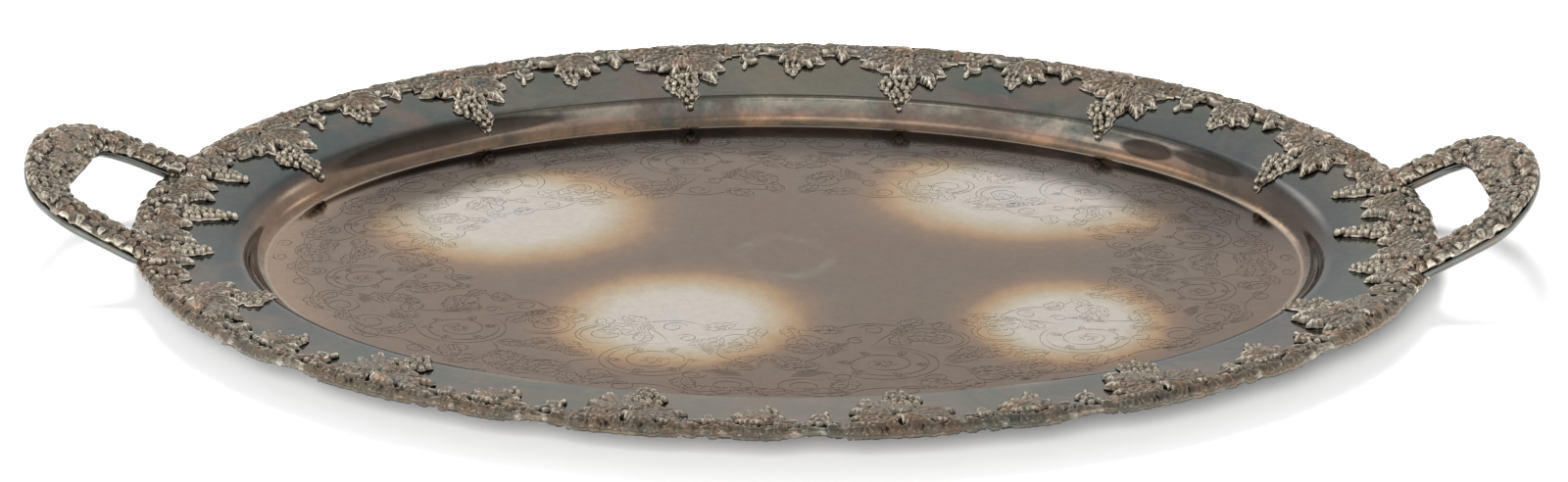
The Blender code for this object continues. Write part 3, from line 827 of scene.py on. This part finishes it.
def acanthus(u, v, heading, length, hand, lobes, strokes):
    """Curved leaf: a vein, two scalloped sides and a short rib at each notch."""
    count = 6 * lobes + 1
    t = np.linspace(0, 1, count)
    turn = math.radians(heading) + hand * 1.5 * t ** 1.2
    ahead = np.column_stack([np.cos(turn), np.sin(turn)])
    side = np.column_stack([-ahead[:, 1], ahead[:, 0]])
    spine = np.array([u, v]) + np.cumsum(ahead, axis=0) * length / count
    strokes.append(spine[: 5 * lobes])
    for way in (1, -1):
        width = length * (0.30 if way == hand else 0.22) * np.sin(math.pi * t ** 0.7)
        scallop = 0.62 + 0.38 * np.abs(np.sin(math.pi * lobes * t)) ** 0.7
        outline = spine + side * (way * width * scallop)[:, None]
        strokes.append(outline)
        for k in range(1, lobes):
            notch, root = outline[6 * k], spine[6 * k - 4]
            strokes.append(np.array([notch, 0.6 * notch + 0.4 * root + 0.3 * ahead[6 * k],
                                     0.25 * notch + 0.75 * root]))


def scroll_unit(seed):
    """One repeat of the engraving in flat millimetres, about 74 wide and 92 high."""
    rng = np.random.default_rng(seed)
    s = []
    for u, v, big, small, start, turns, hand in (
            (0, 6, 17, 2.6, -100, 2.4, 1), (0, 6, 18.5, 16.0, -100, 0.75, 1),
            (25, -17, 10.5, 1.8, 120, 2.1, -1), (25, -17, 11.8, 10.0, 120, 0.6, -1),
            (-24, -20, 9.5, 1.6, 60, 2.0, 1), (-27, 27, 8.5, 1.5, -30, 2.0, -1),
            (29, 26, 9.0, 1.6, 200, 2.0, 1), (3, 35, 5.5, 1.2, 20, 1.6, -1),
            (13, 24, 5.0, 1.1, 90, 1.6, 1), (-15, 18, 4.6, 1.1, 240, 1.6, -1),
            (35, 5, 5.5, 1.2, 300, 1.7, -1), (-36, -2, 5.0, 1.1, 70, 1.6, 1),
            (-6, -20, 4.4, 1.0, 0, 1.5, -1), (30, 42, 4.2, 1.0, 40, 1.5, 1),
            (2, -31, 6.0, 1.2, 160, 1.6, 1)):
        s.append(spiral(u, v, big, small, start + rng.uniform(-14, 14), turns, hand))
    s.append(smooth_curve([(-3, -11), (8, -25), (25, -29), (36, -16)], 6))
    s.append(smooth_curve([(-37, 8), (-26, 2), (-19, -9), (-29, -30)], 6))
    s.append(smooth_curve([(-37, 32), (-20, 38), (-6, 31), (14, 35), (37, 32)], 6))
    s.append(smooth_curve([(-37, -35), (-18, -32), (0, -38), (18, -33), (37, -35)], 6))
    s.append(smooth_curve([(17, 10), (24, 17), (22, 27)], 6))
    for k in range(5):
        angle = 72 * k + rng.uniform(-9, 9)
        c, q = math.cos(math.radians(angle)), math.sin(math.radians(angle))
        s.append(spiral(2.8 * c, 6 + 2.8 * q, 1.5, 1.1, angle, 0.9, 1))
    for k in range(6):
        angle = 15 + 57 * k + rng.uniform(-6, 6)
        c, q = math.cos(math.radians(angle)), math.sin(math.radians(angle))
        acanthus(19.5 * c, 6 + 19.5 * q, angle - 55, rng.uniform(15, 19), 1, 5, s)
        acanthus(9.5 * c, 6 + 9.5 * q, angle + 40, rng.uniform(5.5, 7.5), -1, 3, s)
    for u, v, heading, length, hand, lobes in (
            (10, -21, -20, 22, 1, 6), (-19, -7, -110, 20, -1, 5), (-12, 33, 150, 20, 1, 5),
            (22, 19, 40, 19, -1, 5), (36, -6, 100, 20, 1, 5), (-34, -6, 80, 20, -1, 5),
            (-8, -33, 170, 18, 1, 5), (14, 38, -20, 17, -1, 5), (34, 36, -60, 15, 1, 4),
            (-34, 37, -120, 15, -1, 4), (12, -34, 10, 18, -1, 5), (-34, -36, 40, 16, 1, 4),
            (35, -34, 150, 16, -1, 4)):
        acanthus(u, v, heading + rng.uniform(-12, 12), length, hand, lobes, s)
    for k in range(6):
        s.append(spiral(25, -17, 13.2 + 1.2 * k, 13.2 + 1.2 * k, 190 + 3 * k, 0.11, 1))
        s.append(spiral(-27, 27, 10.4 + 1.2 * k, 10.4 + 1.2 * k, 250 + 4 * k, 0.12, 1))
        s.append(spiral(0, 6, 20.2 + 1.1 * k, 20.2 + 1.1 * k, 205 + 4 * k, 0.08, 1))
    return s


def engraving():
    """All strokes on the floor: a wide band of scrolls round a plain middle."""
    outer_a, outer_b = half_axes(FLANGE_X + WELL_X)
    strokes = []
    for k in range(REPEATS):
        hand = 1 if k % 2 else -1
        for line in scroll_unit(200 + k):
            u, v = line[:, 0] * hand, line[:, 1]
            angle = 2 * math.pi * (k + 0.5 + u / UNIT_WIDTH) / REPEATS
            inset = UNIT_TOP - v
            a, b = outer_a - inset * 1.05, outer_b - inset * 0.98
            strokes.append(np.column_stack([a * np.cos(angle), b * np.sin(angle)]))
    return strokes


def resample(line, step):
    gaps = np.linalg.norm(np.diff(line, axis=0), axis=1)
    lengths = np.concatenate([[0], np.cumsum(gaps)])
    count = max(int(lengths[-1] / step), 2)
    at = np.linspace(0, lengths[-1], count + 1)
    return np.column_stack([np.interp(at, lengths, line[:, k]) for k in (0, 1)])


def floor_mesh(ring_points):
    """Triangles of the engraved floor inside a ring, as (verts, faces, groove values)."""
    points = [Vector(p) for p in ring_points]
    count = len(points)
    edges = [(k, (k + 1) % count) for k in range(count)]
    depth = [0.0] * count
    for line in engraving():
        line = resample(line, 1.15)
        ahead = np.gradient(line, axis=0)
        ahead /= np.linalg.norm(ahead, axis=1)[:, None] + 1e-9
        side = np.column_stack([-ahead[:, 1], ahead[:, 0]]) * GROOVE_HALF
        taper = np.minimum(1, np.linspace(0.1, 5, len(line)))
        taper = np.minimum(taper, taper[::-1])[:, None]
        for offset, deep in ((side * taper, 0), (-side * taper, 0), (0 * side, 1)):
            base = len(points)
            points += [Vector(p) for p in line + offset]
            depth += list(deep * GROOVE_DEPTH * taper[:, 0])
            edges += [(base + k, base + k + 1) for k in range(len(line) - 1)]
    verts, _, tris, origins, _, _ = delaunay_2d_cdt(points, edges, [], 1, 1e-5)
    depth = np.array(depth)
    out = []
    for v, source in zip(verts, origins):
        deep = max((depth[s] for s in source), default=0.0)
        out.append((v.x, v.y, SHEET - deep, deep / GROOVE_DEPTH))
    return np.array(out), tris


def make_sheet(material):
    """The tray's sheet: rim edge, flange, wall, engraved floor and underside."""
    turn = 2 * math.pi * np.arange(RING) / RING
    verts = []
    for run in RUNS:
        a, b = half_axes(run)
        verts += list(zip(a * np.cos(turn), b * np.sin(turn), profile_height(run, turn)))
    below = []
    for i, (run, z) in enumerate(PROFILE):
        before, after = PROFILE[max(i - 1, 0)], PROFILE[min(i + 1, len(PROFILE) - 1)]
        d = (after - before) / np.linalg.norm(after - before)
        if i == len(PROFILE) - 1:
            d = np.array([1.0, 0.0])
        below.append((run - d[1] * -SHEET if i else 0.25, z - d[0] * SHEET))
    edge = [(-0.25, RIM_Z - 0.35), (-0.35, RIM_Z - 0.8), (-0.25, RIM_Z - 1.25)]
    rings = [(half_axes(r), z) for r, z in reversed(edge)]
    outer = [(half_axes(r), z) for r, z in reversed(below)] + rings
    for (a, b), z in outer:
        verts += [(a * math.cos(t), b * math.sin(t), z) for t in turn]
    top_count, total = len(RUNS), len(RUNS) + len(outer)
    order = [range(i * RING, (i + 1) * RING) for i in (*range(top_count, total), *range(top_count))]
    faces = sum(map(band, order, order[1:]), [])
    verts = np.array(verts)
    floor_ring = (top_count - 1) * RING
    floor, tris = floor_mesh(verts[floor_ring:floor_ring + RING, :2])
    smooth_count = len(faces)
    base = len(verts)
    faces += [tuple(floor_ring + k if k < RING else base + k - RING for k in t) for t in tris]
    groove = np.concatenate([np.zeros(base), floor[RING:, 3], [0.0]])
    verts = np.vstack([verts, floor[RING:, :3], [[0, 0, 0]]])
    centre = len(verts) - 1
    bottom = order[0]
    faces += [(after, k, centre) for k, after in zip(bottom, [*bottom[1:], bottom[0]])]
    obj = add_mesh("engraved_tray_sheet", verts * MM, faces, material,
                   "tray_body")
    flat = np.ones(len(obj.data.polygons), bool)
    flat[smooth_count:] = False
    obj.data.polygons.foreach_set("use_smooth", flat)
    put_values(obj, "groove", groove)


# ------------------------------------------------------------------ materials

class Signal:
    """Output of a shader node. Arithmetic on it adds math nodes."""

    def __init__(self, nodes, socket):
        self.nodes, self.socket = nodes, socket

    def __add__(self, other):
        return self.nodes.math("ADD", self, other)

    def __sub__(self, other):
        return self.nodes.math("SUBTRACT", self, other)

    def __rsub__(self, other):
        return self.nodes.math("SUBTRACT", other, self)

    def __mul__(self, other):
        return self.nodes.math("MULTIPLY", self, other)

    def __truediv__(self, other):
        return self.nodes.math("DIVIDE", self, other)

    def __abs__(self):
        return self.nodes.math("ABSOLUTE", self)


class Nodes:
    """Short calls for building the node tree of a material or a world."""

    def __init__(self, owner):
        owner.use_nodes = True
        self.owner, self.tree = owner, owner.node_tree
        self.shader = self.tree.nodes.get("Principled BSDF")

    def set(self, socket, value):
        if isinstance(value, Signal):
            self.tree.links.new(value.socket, socket)
        else:
            socket.default_value = value

    def add(self, kind, output=0, inputs=(), **settings):
        """Adds a node with these inputs, by name or number, and returns one output."""
        node = self.tree.nodes.new(kind)
        for key, value in settings.items():
            setattr(node, key, value)
        for key, value in dict(inputs).items():
            self.set(node.inputs[key], value)
        return Signal(self, node.outputs[output])

    def math(self, operation, *values, clamp=False):
        return self.add("ShaderNodeMath", 0, enumerate(values), operation=operation,
                        use_clamp=clamp)

    def noise(self, vector, scale, detail, roughness, distortion=0.0):
        return self.add("ShaderNodeTexNoise", "Fac", {
            "Vector": vector, "Scale": scale, "Detail": detail, "Roughness": roughness,
            "Distortion": distortion})

    def ramp(self, value, stops):
        """Colours, or plain levels, at places along a value."""
        node = self.tree.nodes.new("ShaderNodeValToRGB")
        elements = node.color_ramp.elements
        while len(elements) < len(stops):
            elements.new(0.5)
        for element, (place, colour) in zip(elements, stops):
            element.position = place
            if not isinstance(colour, tuple):
                colour = (colour, colour, colour)
            element.color = (*colour, 1.0)
        self.set(node.inputs["Fac"], value)
        return Signal(self, node.outputs["Color"])

    def mix(self, factor, a, b, blend="MIX"):
        inputs = {0: factor}
        for key, value in ((6, a), (7, b)):
            inputs[key] = (*value, 1.0) if isinstance(value, tuple) else value
        return self.add("ShaderNodeMix", 2, inputs, data_type="RGBA", blend_type=blend)

    def split(self, vector):
        node = self.tree.nodes.new("ShaderNodeSeparateXYZ")
        self.set(node.inputs[0], vector)
        return [Signal(self, socket) for socket in node.outputs]

    def attribute(self, name):
        return self.add("ShaderNodeAttribute", "Fac", attribute_name=name)

    def surface(self, colour, roughness, metallic=1.0):
        for key, value in (("Base Color", colour), ("Roughness", roughness),
                           ("Metallic", metallic)):
            self.set(self.shader.inputs[key], value)

    def bump(self, height, strength, distance):
        inputs = {"Height": height, "Strength": strength, "Distance": distance}
        self.set(self.shader.inputs["Normal"], self.add("ShaderNodeBump", 0, inputs))


# Pale polished patches on the floor: middle and half axes in millimetres.
SPOTS = ((-143.0, 45.5, 64.0, 50.0), (124.5, 79.0, 70.0, 49.0),
         (-46.5, -70.0, 54.0, 44.0), (144.0, -67.0, 43.0, 39.0))
# Dark reflections painted on the wall: direction and half width in degrees, height and half height
# in millimetres, strength.
DARK_REFLECTIONS = ((137.0, 19.0, 10.2, 4.4, 0.88), (43.5, 4.2, 8.6, 4.4, 0.85),
          (34.0, 6.5, 10.8, 3.4, 0.75))
SMEAR = (34.0, 30.0)        # half axes of the wiped ring in the middle of the floor
WALL_HEIGHT = 20.4          # from the floor to the rim's edge


def reach_of(n, across, along):
    return n.math("SQRT", across * across + along * along)


def oval_reach(n, x, y, axes):
    """Distance from the middle of the tray, 1 on the oval with these half axes."""
    return reach_of(n, x / (float(axes[0]) * MM), y / (float(axes[1]) * MM))


def spot_reach(n, x, y):
    """Distance from the nearest pale patch, 1 at its outline."""
    nearest = None
    for u, v, half_u, half_v in SPOTS:
        reach = reach_of(n, (x - u * MM) / (half_u * MM), (y - v * MM) / (half_v * MM))
        nearest = reach if nearest is None else n.math("MINIMUM", nearest, reach)
    return nearest


def floor_colour(n, place, cloudy, x, y, z):
    """Brown tarnish with pale polished patches, and a painted dark reflection of the wall along the
    back.
    """
    warp = (cloudy - 0.5) * 0.26
    patch = (spot_reach(n, x, y) + warp) * 0.5
    floor = n.ramp(patch, [
        (0.00, (0.56, 0.525, 0.475)), (0.32, (0.56, 0.515, 0.45)), (0.42, (0.49, 0.405, 0.29)),
        (0.51, (0.42, 0.285, 0.16)), (0.60, (0.27, 0.175, 0.115)), (0.76, (0.19, 0.142, 0.112))])
    broad = n.ramp(n.noise(place, 9.0, 4.0, 0.6), [(0.38, 0.0), (0.62, 1.0)])
    brown = n.mix(broad, (0.185, 0.130, 0.099), (0.180, 0.143, 0.113))
    brown = n.mix(n.ramp(cloudy, [(0.40, 0.0), (0.70, 0.55)]), brown, (0.170, 0.124, 0.097))
    floor = n.mix(n.ramp(patch, [(0.56, 0.0), (0.82, 1.0)]), floor, brown)
    edge = oval_reach(n, x, y, half_axes(FLANGE_X + WELL_X))
    # Painted dark reflection of the wall on the floor along the back.
    behind = n.ramp(y / (RIM_B * MM), [(-0.1, 0.0), (0.3, 1.0)])
    shade = n.ramp(edge + warp * 0.2, [(0.75, 0.0), (0.85, 0.85), (1.0, 0.95)])
    floor = n.mix(shade * behind, floor, (0.034, 0.023, 0.017))
    leftmost = n.ramp(x / (RIM_A * MM) * -1.0, [(0.62, 0.0), (0.74, 1.0)])
    tan = n.ramp(edge, [(0.90, 0.0), (0.99, 0.8)]) * leftmost
    floor = n.mix(tan, floor, (0.30, 0.20, 0.135))
    ring = abs(oval_reach(n, x, y, SMEAR) - 0.7)
    smear = n.ramp(ring + warp * 2.2, [(0.05, 0.20), (0.22, 0.0)])
    broken = n.ramp(n.noise(place, 30.0, 4.0, 0.6), [(0.42, 0.0), (0.60, 1.0)])
    floor = n.mix(smear * broken, floor, (0.33, 0.34, 0.27))
    underside = n.ramp(z / (SHEET * MM), [(0.3, 1.0), (0.6, 0.0)])
    return n.mix(underside, floor, brown)


def wall_colour(n, place, height, x, y, z):
    """Bands up the cove and over the flange, partly tarnish and partly painted reflection, which
    differ from side to side, with painted shade on the shoulders at the ends and dark reflections
    painted on the wall.
    """
    drift = (n.noise(place, 14.0, 4.0, 0.6) - 0.5) * 0.14
    grit = (n.noise(place, 420.0, 3.0, 0.7) - 0.5) * 0.16
    climb = height + drift + grit
    wall = n.ramp(climb, [
        (0.00, (0.40, 0.25, 0.155)), (0.08, (0.50, 0.31, 0.19)), (0.18, (0.42, 0.265, 0.19)),
        (0.28, (0.40, 0.285, 0.225)), (0.38, (0.37, 0.325, 0.27)), (0.52, (0.47, 0.43, 0.34)),
        (0.64, (0.165, 0.155, 0.128)), (0.80, (0.160, 0.148, 0.118)), (1.00, (0.175, 0.155, 0.12))])
    teal = n.ramp(n.noise(place, 16.0, 5.0, 0.68, 0.8), [(0.40, 0.0), (0.60, 0.85)])
    wall = n.mix(teal, wall, (0.086, 0.112, 0.100))
    plum = n.ramp(n.noise(place, 21.0, 5.0, 0.68, 1.2), [(0.50, 0.0), (0.66, 0.7)])
    wall = n.mix(plum, wall, (0.135, 0.098, 0.090))
    across, away = x / (RIM_A * MM), abs(x / (RIM_A * MM))
    left = n.ramp(across * -1.0, [(0.35, 0.0), (0.75, 1.0)])
    right_flange = n.ramp(across, [(0.40, 0.0), (0.62, 1.0), (0.88, 0.7), (0.98, 0.0)])
    right_cove = n.ramp(across, [(0.50, 0.0), (0.78, 1.0)])
    middle, ends = n.ramp(away, [(0.0, 1.0), (0.32, 0.0)]), n.ramp(away, [(0.45, 0.0), (0.72, 1.0)])
    forward = n.ramp(y / (-RIM_B * MM), [(0.3, 0.0), (0.8, 1.0)])
    cove = n.ramp(climb, [(0.02, 0.0), (0.10, 1.0), (0.55, 1.0), (0.62, 0.0)])
    shoulder = n.ramp(climb, [(0.40, 0.0), (0.50, 1.0), (0.62, 1.0), (0.74, 0.0)])
    foot = n.ramp(climb, [(0.50, 0.0), (0.62, 1.0), (0.74, 0.8), (0.92, 0.0)])
    flange = n.ramp(climb, [(0.60, 0.0), (0.66, 1.0)])
    wall = n.mix(left * foot * 0.8, wall, (0.078, 0.098, 0.102))
    wall = n.mix(right_flange * foot * 0.7, wall, (0.066, 0.084, 0.098))
    wall = n.mix(middle * flange * 0.6, wall, (0.195, 0.175, 0.130))
    wall = n.mix(left * cove * 0.8, wall, (0.175, 0.112, 0.075))
    wall = n.mix(forward, wall, (0.90, 0.80, 0.69), "MULTIPLY")
    wall = n.mix(right_cove * cove * 0.92, wall, (0.080, 0.062, 0.052))
    rust = n.ramp(n.noise(place, 19.0, 5.0, 0.65, 0.9), [(0.52, 0.0), (0.68, 0.65)])
    wall = n.mix(rust, wall, (0.215, 0.150, 0.118))
    # Painted shade on the shoulders at the two ends, where their highlight would show.
    wall = n.mix(ends * shoulder * 0.55, wall, (0.072, 0.066, 0.066))
    angle, level = n.math("ARCTAN2", y / RIM_B, x / RIM_A), z / MM
    # Painted dark reflections, each an oval patch on the wall.
    for centre, half, height, tall, strength in DARK_REFLECTIONS:
        around = (angle - math.radians(centre)) / math.radians(half)
        reach = reach_of(n, around, (level - height) / tall)
        dark_reflection = n.ramp(reach * 0.5, [(0.41, 1.0), (0.51, 0.0)])
        wall = n.mix(dark_reflection * strength, wall, (0.046, 0.036, 0.029))
    return wall


def sheet_material():
    n = Nodes(bpy.data.materials.new("tarnished_silver_sheet"))
    place = n.add("ShaderNodeTexCoord", "Object")
    x, y, z = n.split(place)
    cloudy = n.noise(place, 38.0, 5.0, 0.62)
    height = (z - SHEET * MM) / (WALL_HEIGHT * MM)
    on_wall = n.ramp(height * 10.0, [(0.02, 0.0), (0.35, 1.0)])
    colour = n.mix(on_wall, floor_colour(n, place, cloudy, x, y, z),
                   wall_colour(n, place, height, x, y, z))
    # Painted shade along the crease of the shoulder, mostly at the back.
    behind = n.ramp(y / (RIM_B * MM), [(0.35, 0.1), (0.6, 1.0)])
    crease = abs(z - (SHOULDER_Z - 0.1) * MM) / (0.5 * MM)
    colour = n.mix(n.ramp(crease, [(0.1, 0.9), (0.4, 0.0)]) * behind, colour, (0.06, 0.048, 0.035))
    foot = abs(z - (SHEET + 0.22) * MM) / (0.3 * MM)
    colour = n.mix(n.ramp(foot, [(0.2, 0.45), (0.8, 0.0)]), colour, (0.50, 0.42, 0.33))
    colour = n.mix(n.attribute("groove") * 0.95, colour, (0.030, 0.025, 0.020))
    fine = n.noise(place, 260.0, 4.0, 0.7)
    grain = n.ramp(fine, [(0.3, (0.92, 0.92, 0.92)), (0.7, (1.06, 1.06, 1.06))])
    n.surface(n.mix(1.0, colour, grain, "MULTIPLY"), cloudy * 0.09 + 0.07)
    n.bump(n.noise(place, 900.0, 2.0, 0.6), 0.04, 0.0002)
    return n.owner


def leafwork_material():
    """Cast silver: brown body, polished high places with painted highlights, hollows black with
    patina and painted shade, a paler base plate, and painted shade over the front.
    """
    n = Nodes(bpy.data.materials.new("cast_silver_leafwork"))
    place = n.add("ShaderNodeTexCoord", "Object")
    relief, kind = n.attribute("relief"), n.attribute("kind")
    coarse = n.noise(place, 55.0, 4.0, 0.6)
    fine = n.noise(place, 700.0, 4.0, 0.65)
    body = n.ramp(coarse, [(0.32, (0.150, 0.152, 0.130)), (0.47, (0.205, 0.184, 0.144)),
                           (0.62, (0.220, 0.165, 0.122))])
    grape = n.ramp(kind, [(0.55, 0.0), (0.95, 1.0)])
    body = n.mix(grape * 0.7, body, (0.27, 0.232, 0.172))
    patchy = n.ramp(n.noise(place, 130.0, 3.0, 0.6), [(0.40, 0.15), (0.6, 1.0)])
    warm = n.math("MULTIPLY", n.attribute("copper") * patchy, 0.7, clamp=True)
    body = n.mix(warm, body, (0.34, 0.205, 0.13))
    shade = n.attribute("cavity") + (fine - 0.5) * 0.35
    # Raised places lightened: polish wear and painted highlight.
    high = n.ramp(shade, [(0.30, 0.0), (1.05, 1.0)]) * (0.9 - grape * 0.35)
    body = n.mix(high, body, (0.80, 0.735, 0.61))
    # Hollows darkened: black patina and painted shade.
    deep = n.ramp(shade * -1.0, [(0.12, 0.0), (0.70, 1.0)])
    body = n.mix(deep * 0.93, body, (0.020, 0.017, 0.014))
    low = n.ramp(relief * 0.1, [(0.055, 1.0), (0.115, 0.0)])
    spread = n.ramp(n.noise(place, 90.0, 3.0, 0.6), [(0.40, 0.0), (0.56, 1.0)])
    forward = n.ramp(n.split(place)[1] / (-RIM_B * MM), [(0.4, 0.0), (0.95, 1.0)])
    pale = low * spread * (1.0 - forward * 0.9)
    body = n.mix(pale * 0.8, body, (0.48, 0.44, 0.38))
    # Painted shade: the castings at the front are darker.
    body = n.mix(forward, body, (0.86, 0.85, 0.83), "MULTIPLY")
    # Painted shade on upright faces at the front, broken up by noise.
    normal = n.split(n.add("ShaderNodeNewGeometry", "Normal"))
    mottle = n.ramp(n.noise(place, 120.0, 3.0, 0.6), [(0.36, 0.25), (0.56, 1.0)])
    painted_shade_on_sides = n.ramp(normal[2], [(0.15, 1.0), (0.60, 0.0)]) * mottle * forward
    body = n.mix(painted_shade_on_sides * 0.72, body, (0.040, 0.042, 0.038))
    rough = fine * 0.14 + 0.15 - grape * 0.08 + pale * 0.3
    n.surface(body, rough, 1.0 - pale * 0.3)
    n.bump(fine, 0.2, 0.0003)
    return n.owner


def backing_material():
    n = Nodes(bpy.data.materials.new("tarnished_handle_backing"))
    place = n.add("ShaderNodeTexCoord", "Object")
    coarse = n.noise(place, 45.0, 4.0, 0.6)
    colour = n.ramp(coarse, [(0.30, (0.11, 0.105, 0.09)), (0.50, (0.18, 0.19, 0.175)),
                             (0.68, (0.21, 0.165, 0.125))])
    n.surface(colour, coarse * 0.14 + 0.16)
    n.bump(n.noise(place, 400.0, 3.0, 0.6), 0.1, 0.0003)
    return n.owner


# ------------------------------------------------------------------ the object

def make_border(material):
    link = relief_mesh(link_casting())
    for side, middle, length, rise in (("back", 0.25 * PERIMETER, 24.0, 2.0),
                                       ("front", 0.75 * PERIMETER, 19.0, 0.6)):
        leaf = relief_mesh(leaf_casting(length, rise))
        for k in range(6):
            centre = middle + (2.5 - k) * PITCH
            node = f"grape_leaf_{side}_{k + 1}"
            lay_relief("leafwork_" + node, leaf, border_place(centre, -1), material, node)
            if k < 5:
                node = f"vine_link_{side}_{k + 1}"
                place = border_place(centre - LEAF_TO - SEAM, -1)
                lay_relief("leafwork_" + node, link, place, material, node)
    to_leaf = 0.25 * PERIMETER - 2.5 * PITCH
    after, before = to_leaf - LEAF_TO - SEAM, to_leaf + LEAF_FROM - SEAM
    right = relief_mesh(end_casting(-before, after))
    left = relief_mesh(end_casting(-after, before))
    lay_relief("leafwork_right_end", right, border_place(0.0, 1), material, "right_end_casting")
    lay_relief("leafwork_left_end", left, border_place(0.5 * PERIMETER, -1), material,
               "left_end_casting")


def make_handles(leafwork, backing):
    for hand in ("right", "left"):
        path = HandlePath(hand)
        model = relief_mesh(handle_relief(path))
        lay_relief(f"leafwork_{hand}_handle", model, path.place_on_crown, leafwork,
                   f"{hand}_handle_top")
        make_backing(f"smooth_{hand}_handle_backing", path, backing, f"{hand}_handle_back")


# ------------------------------------------------------------------ studio

CAMERA_AZIMUTH, CAMERA_ELEVATION, CAMERA_ROLL = 3.10, 25.85, -0.50      # degrees
CAMERA_DISTANCE = 2.025
CAMERA_TARGET = Vector((0.0156, 0.0, 0.0110))
CAMERA_LENS, CAMERA_SHIFT = 92.15, -0.0183


def make_camera():
    azimuth, elevation = math.radians(CAMERA_AZIMUTH), math.radians(CAMERA_ELEVATION)
    back = Vector((math.sin(azimuth) * math.cos(elevation),
                   -math.cos(azimuth) * math.cos(elevation), math.sin(elevation)))
    right = Vector((0, 0, 1)).cross(back).normalized()
    up = back.cross(right)
    matrix = Matrix((right, up, back)).transposed().to_4x4()
    matrix = matrix @ Matrix.Rotation(math.radians(CAMERA_ROLL), 4, "Z")
    matrix.translation = CAMERA_TARGET + back * CAMERA_DISTANCE
    data = bpy.data.cameras.new("camera")
    data.lens = CAMERA_LENS
    data.sensor_width = 36.0
    data.shift_x = CAMERA_SHIFT
    camera = bpy.data.objects.new("camera", data)
    camera.matrix_world = matrix
    add_to_scene(camera)
    bpy.context.scene.camera = camera


def make_floor():
    mesh = bpy.data.meshes.new("studio_floor")
    corners = [(-6, -6, 0), (6, -6, 0), (6, 6, 0), (-6, 6, 0)]
    mesh.from_pydata(corners, [], [(0, 1, 2, 3)])
    floor = bpy.data.objects.new("studio_floor", mesh)
    floor.location.z = -0.0002
    add_to_scene(floor)
    n = Nodes(bpy.data.materials.new("pale_floor"))
    n.surface((0.45, 0.45, 0.45, 1), 1.0, 0.0)
    n.shader.inputs["Specular IOR Level"].default_value = 0.0
    mesh.materials.append(n.owner)


def make_key_light(name, place, size, power):
    """Soft lamp that shapes the shadows on the floor but has no mirror image in the metal."""
    data = bpy.data.lights.new(name, "AREA")
    data.energy = power
    data.size = size
    light = bpy.data.objects.new(name, data)
    light.location = place
    light.rotation_euler = (-Vector(place)).to_track_quat("-Z", "Y").to_euler()
    light.visible_glossy = False
    add_to_scene(light)


# Bright patches of the studio: direction, strength and tightness.
STUDIO_PATCHES = (
    ((-0.66, -0.55, 0.46), 4.5, 160.0), ((0.62, -0.62, 0.50), 3.0, 160.0),
    ((-0.30, 0.72, 0.62), 2.2, 85.0), ((0.75, 0.42, 0.50), 2.0, 140.0),
    ((-0.20, -0.35, 0.92), 1.2, 40.0), ((-0.45, 0.10, 0.88), 0.9, 60.0))


def make_world():
    """White room that darkens overhead, with a few softboxes."""
    world = bpy.data.worlds.new("studio")
    bpy.context.scene.world = world
    n = Nodes(world)
    direction = n.add("ShaderNodeTexCoord", "Generated")
    total = n.ramp(n.split(direction)[2] * 0.5 + 0.5, [
        (0.0, 0.55), (0.50, 0.92), (0.72, 1.0), (0.82, 0.88), (0.91, 0.60), (1.0, 0.50)])
    for aim, strength, tightness in STUDIO_PATCHES:
        toward = n.add("ShaderNodeVectorMath", "Value",
                       {0: direction, 1: Vector(aim).normalized()}, operation="DOT_PRODUCT")
        patch = n.math("POWER", n.math("MAXIMUM", toward, 0.0), tightness)
        total = total + patch * strength
    n.set(n.tree.nodes["Background"].inputs["Color"], total)


def make_studio():
    make_floor()
    make_world()
    make_key_light("back_lamp", (-0.15, 0.75, 1.6), 0.9, 94.0)
    make_key_light("front_lamp", (-0.2, -2.6, 1.4), 1.4, 250.0)
    bpy.context.scene.view_settings.view_transform = "Standard"


def main():
    leafwork = leafwork_material()
    make_sheet(sheet_material())
    make_border(leafwork)
    make_handles(leafwork, backing_material())
    make_studio()
    make_camera()


main()
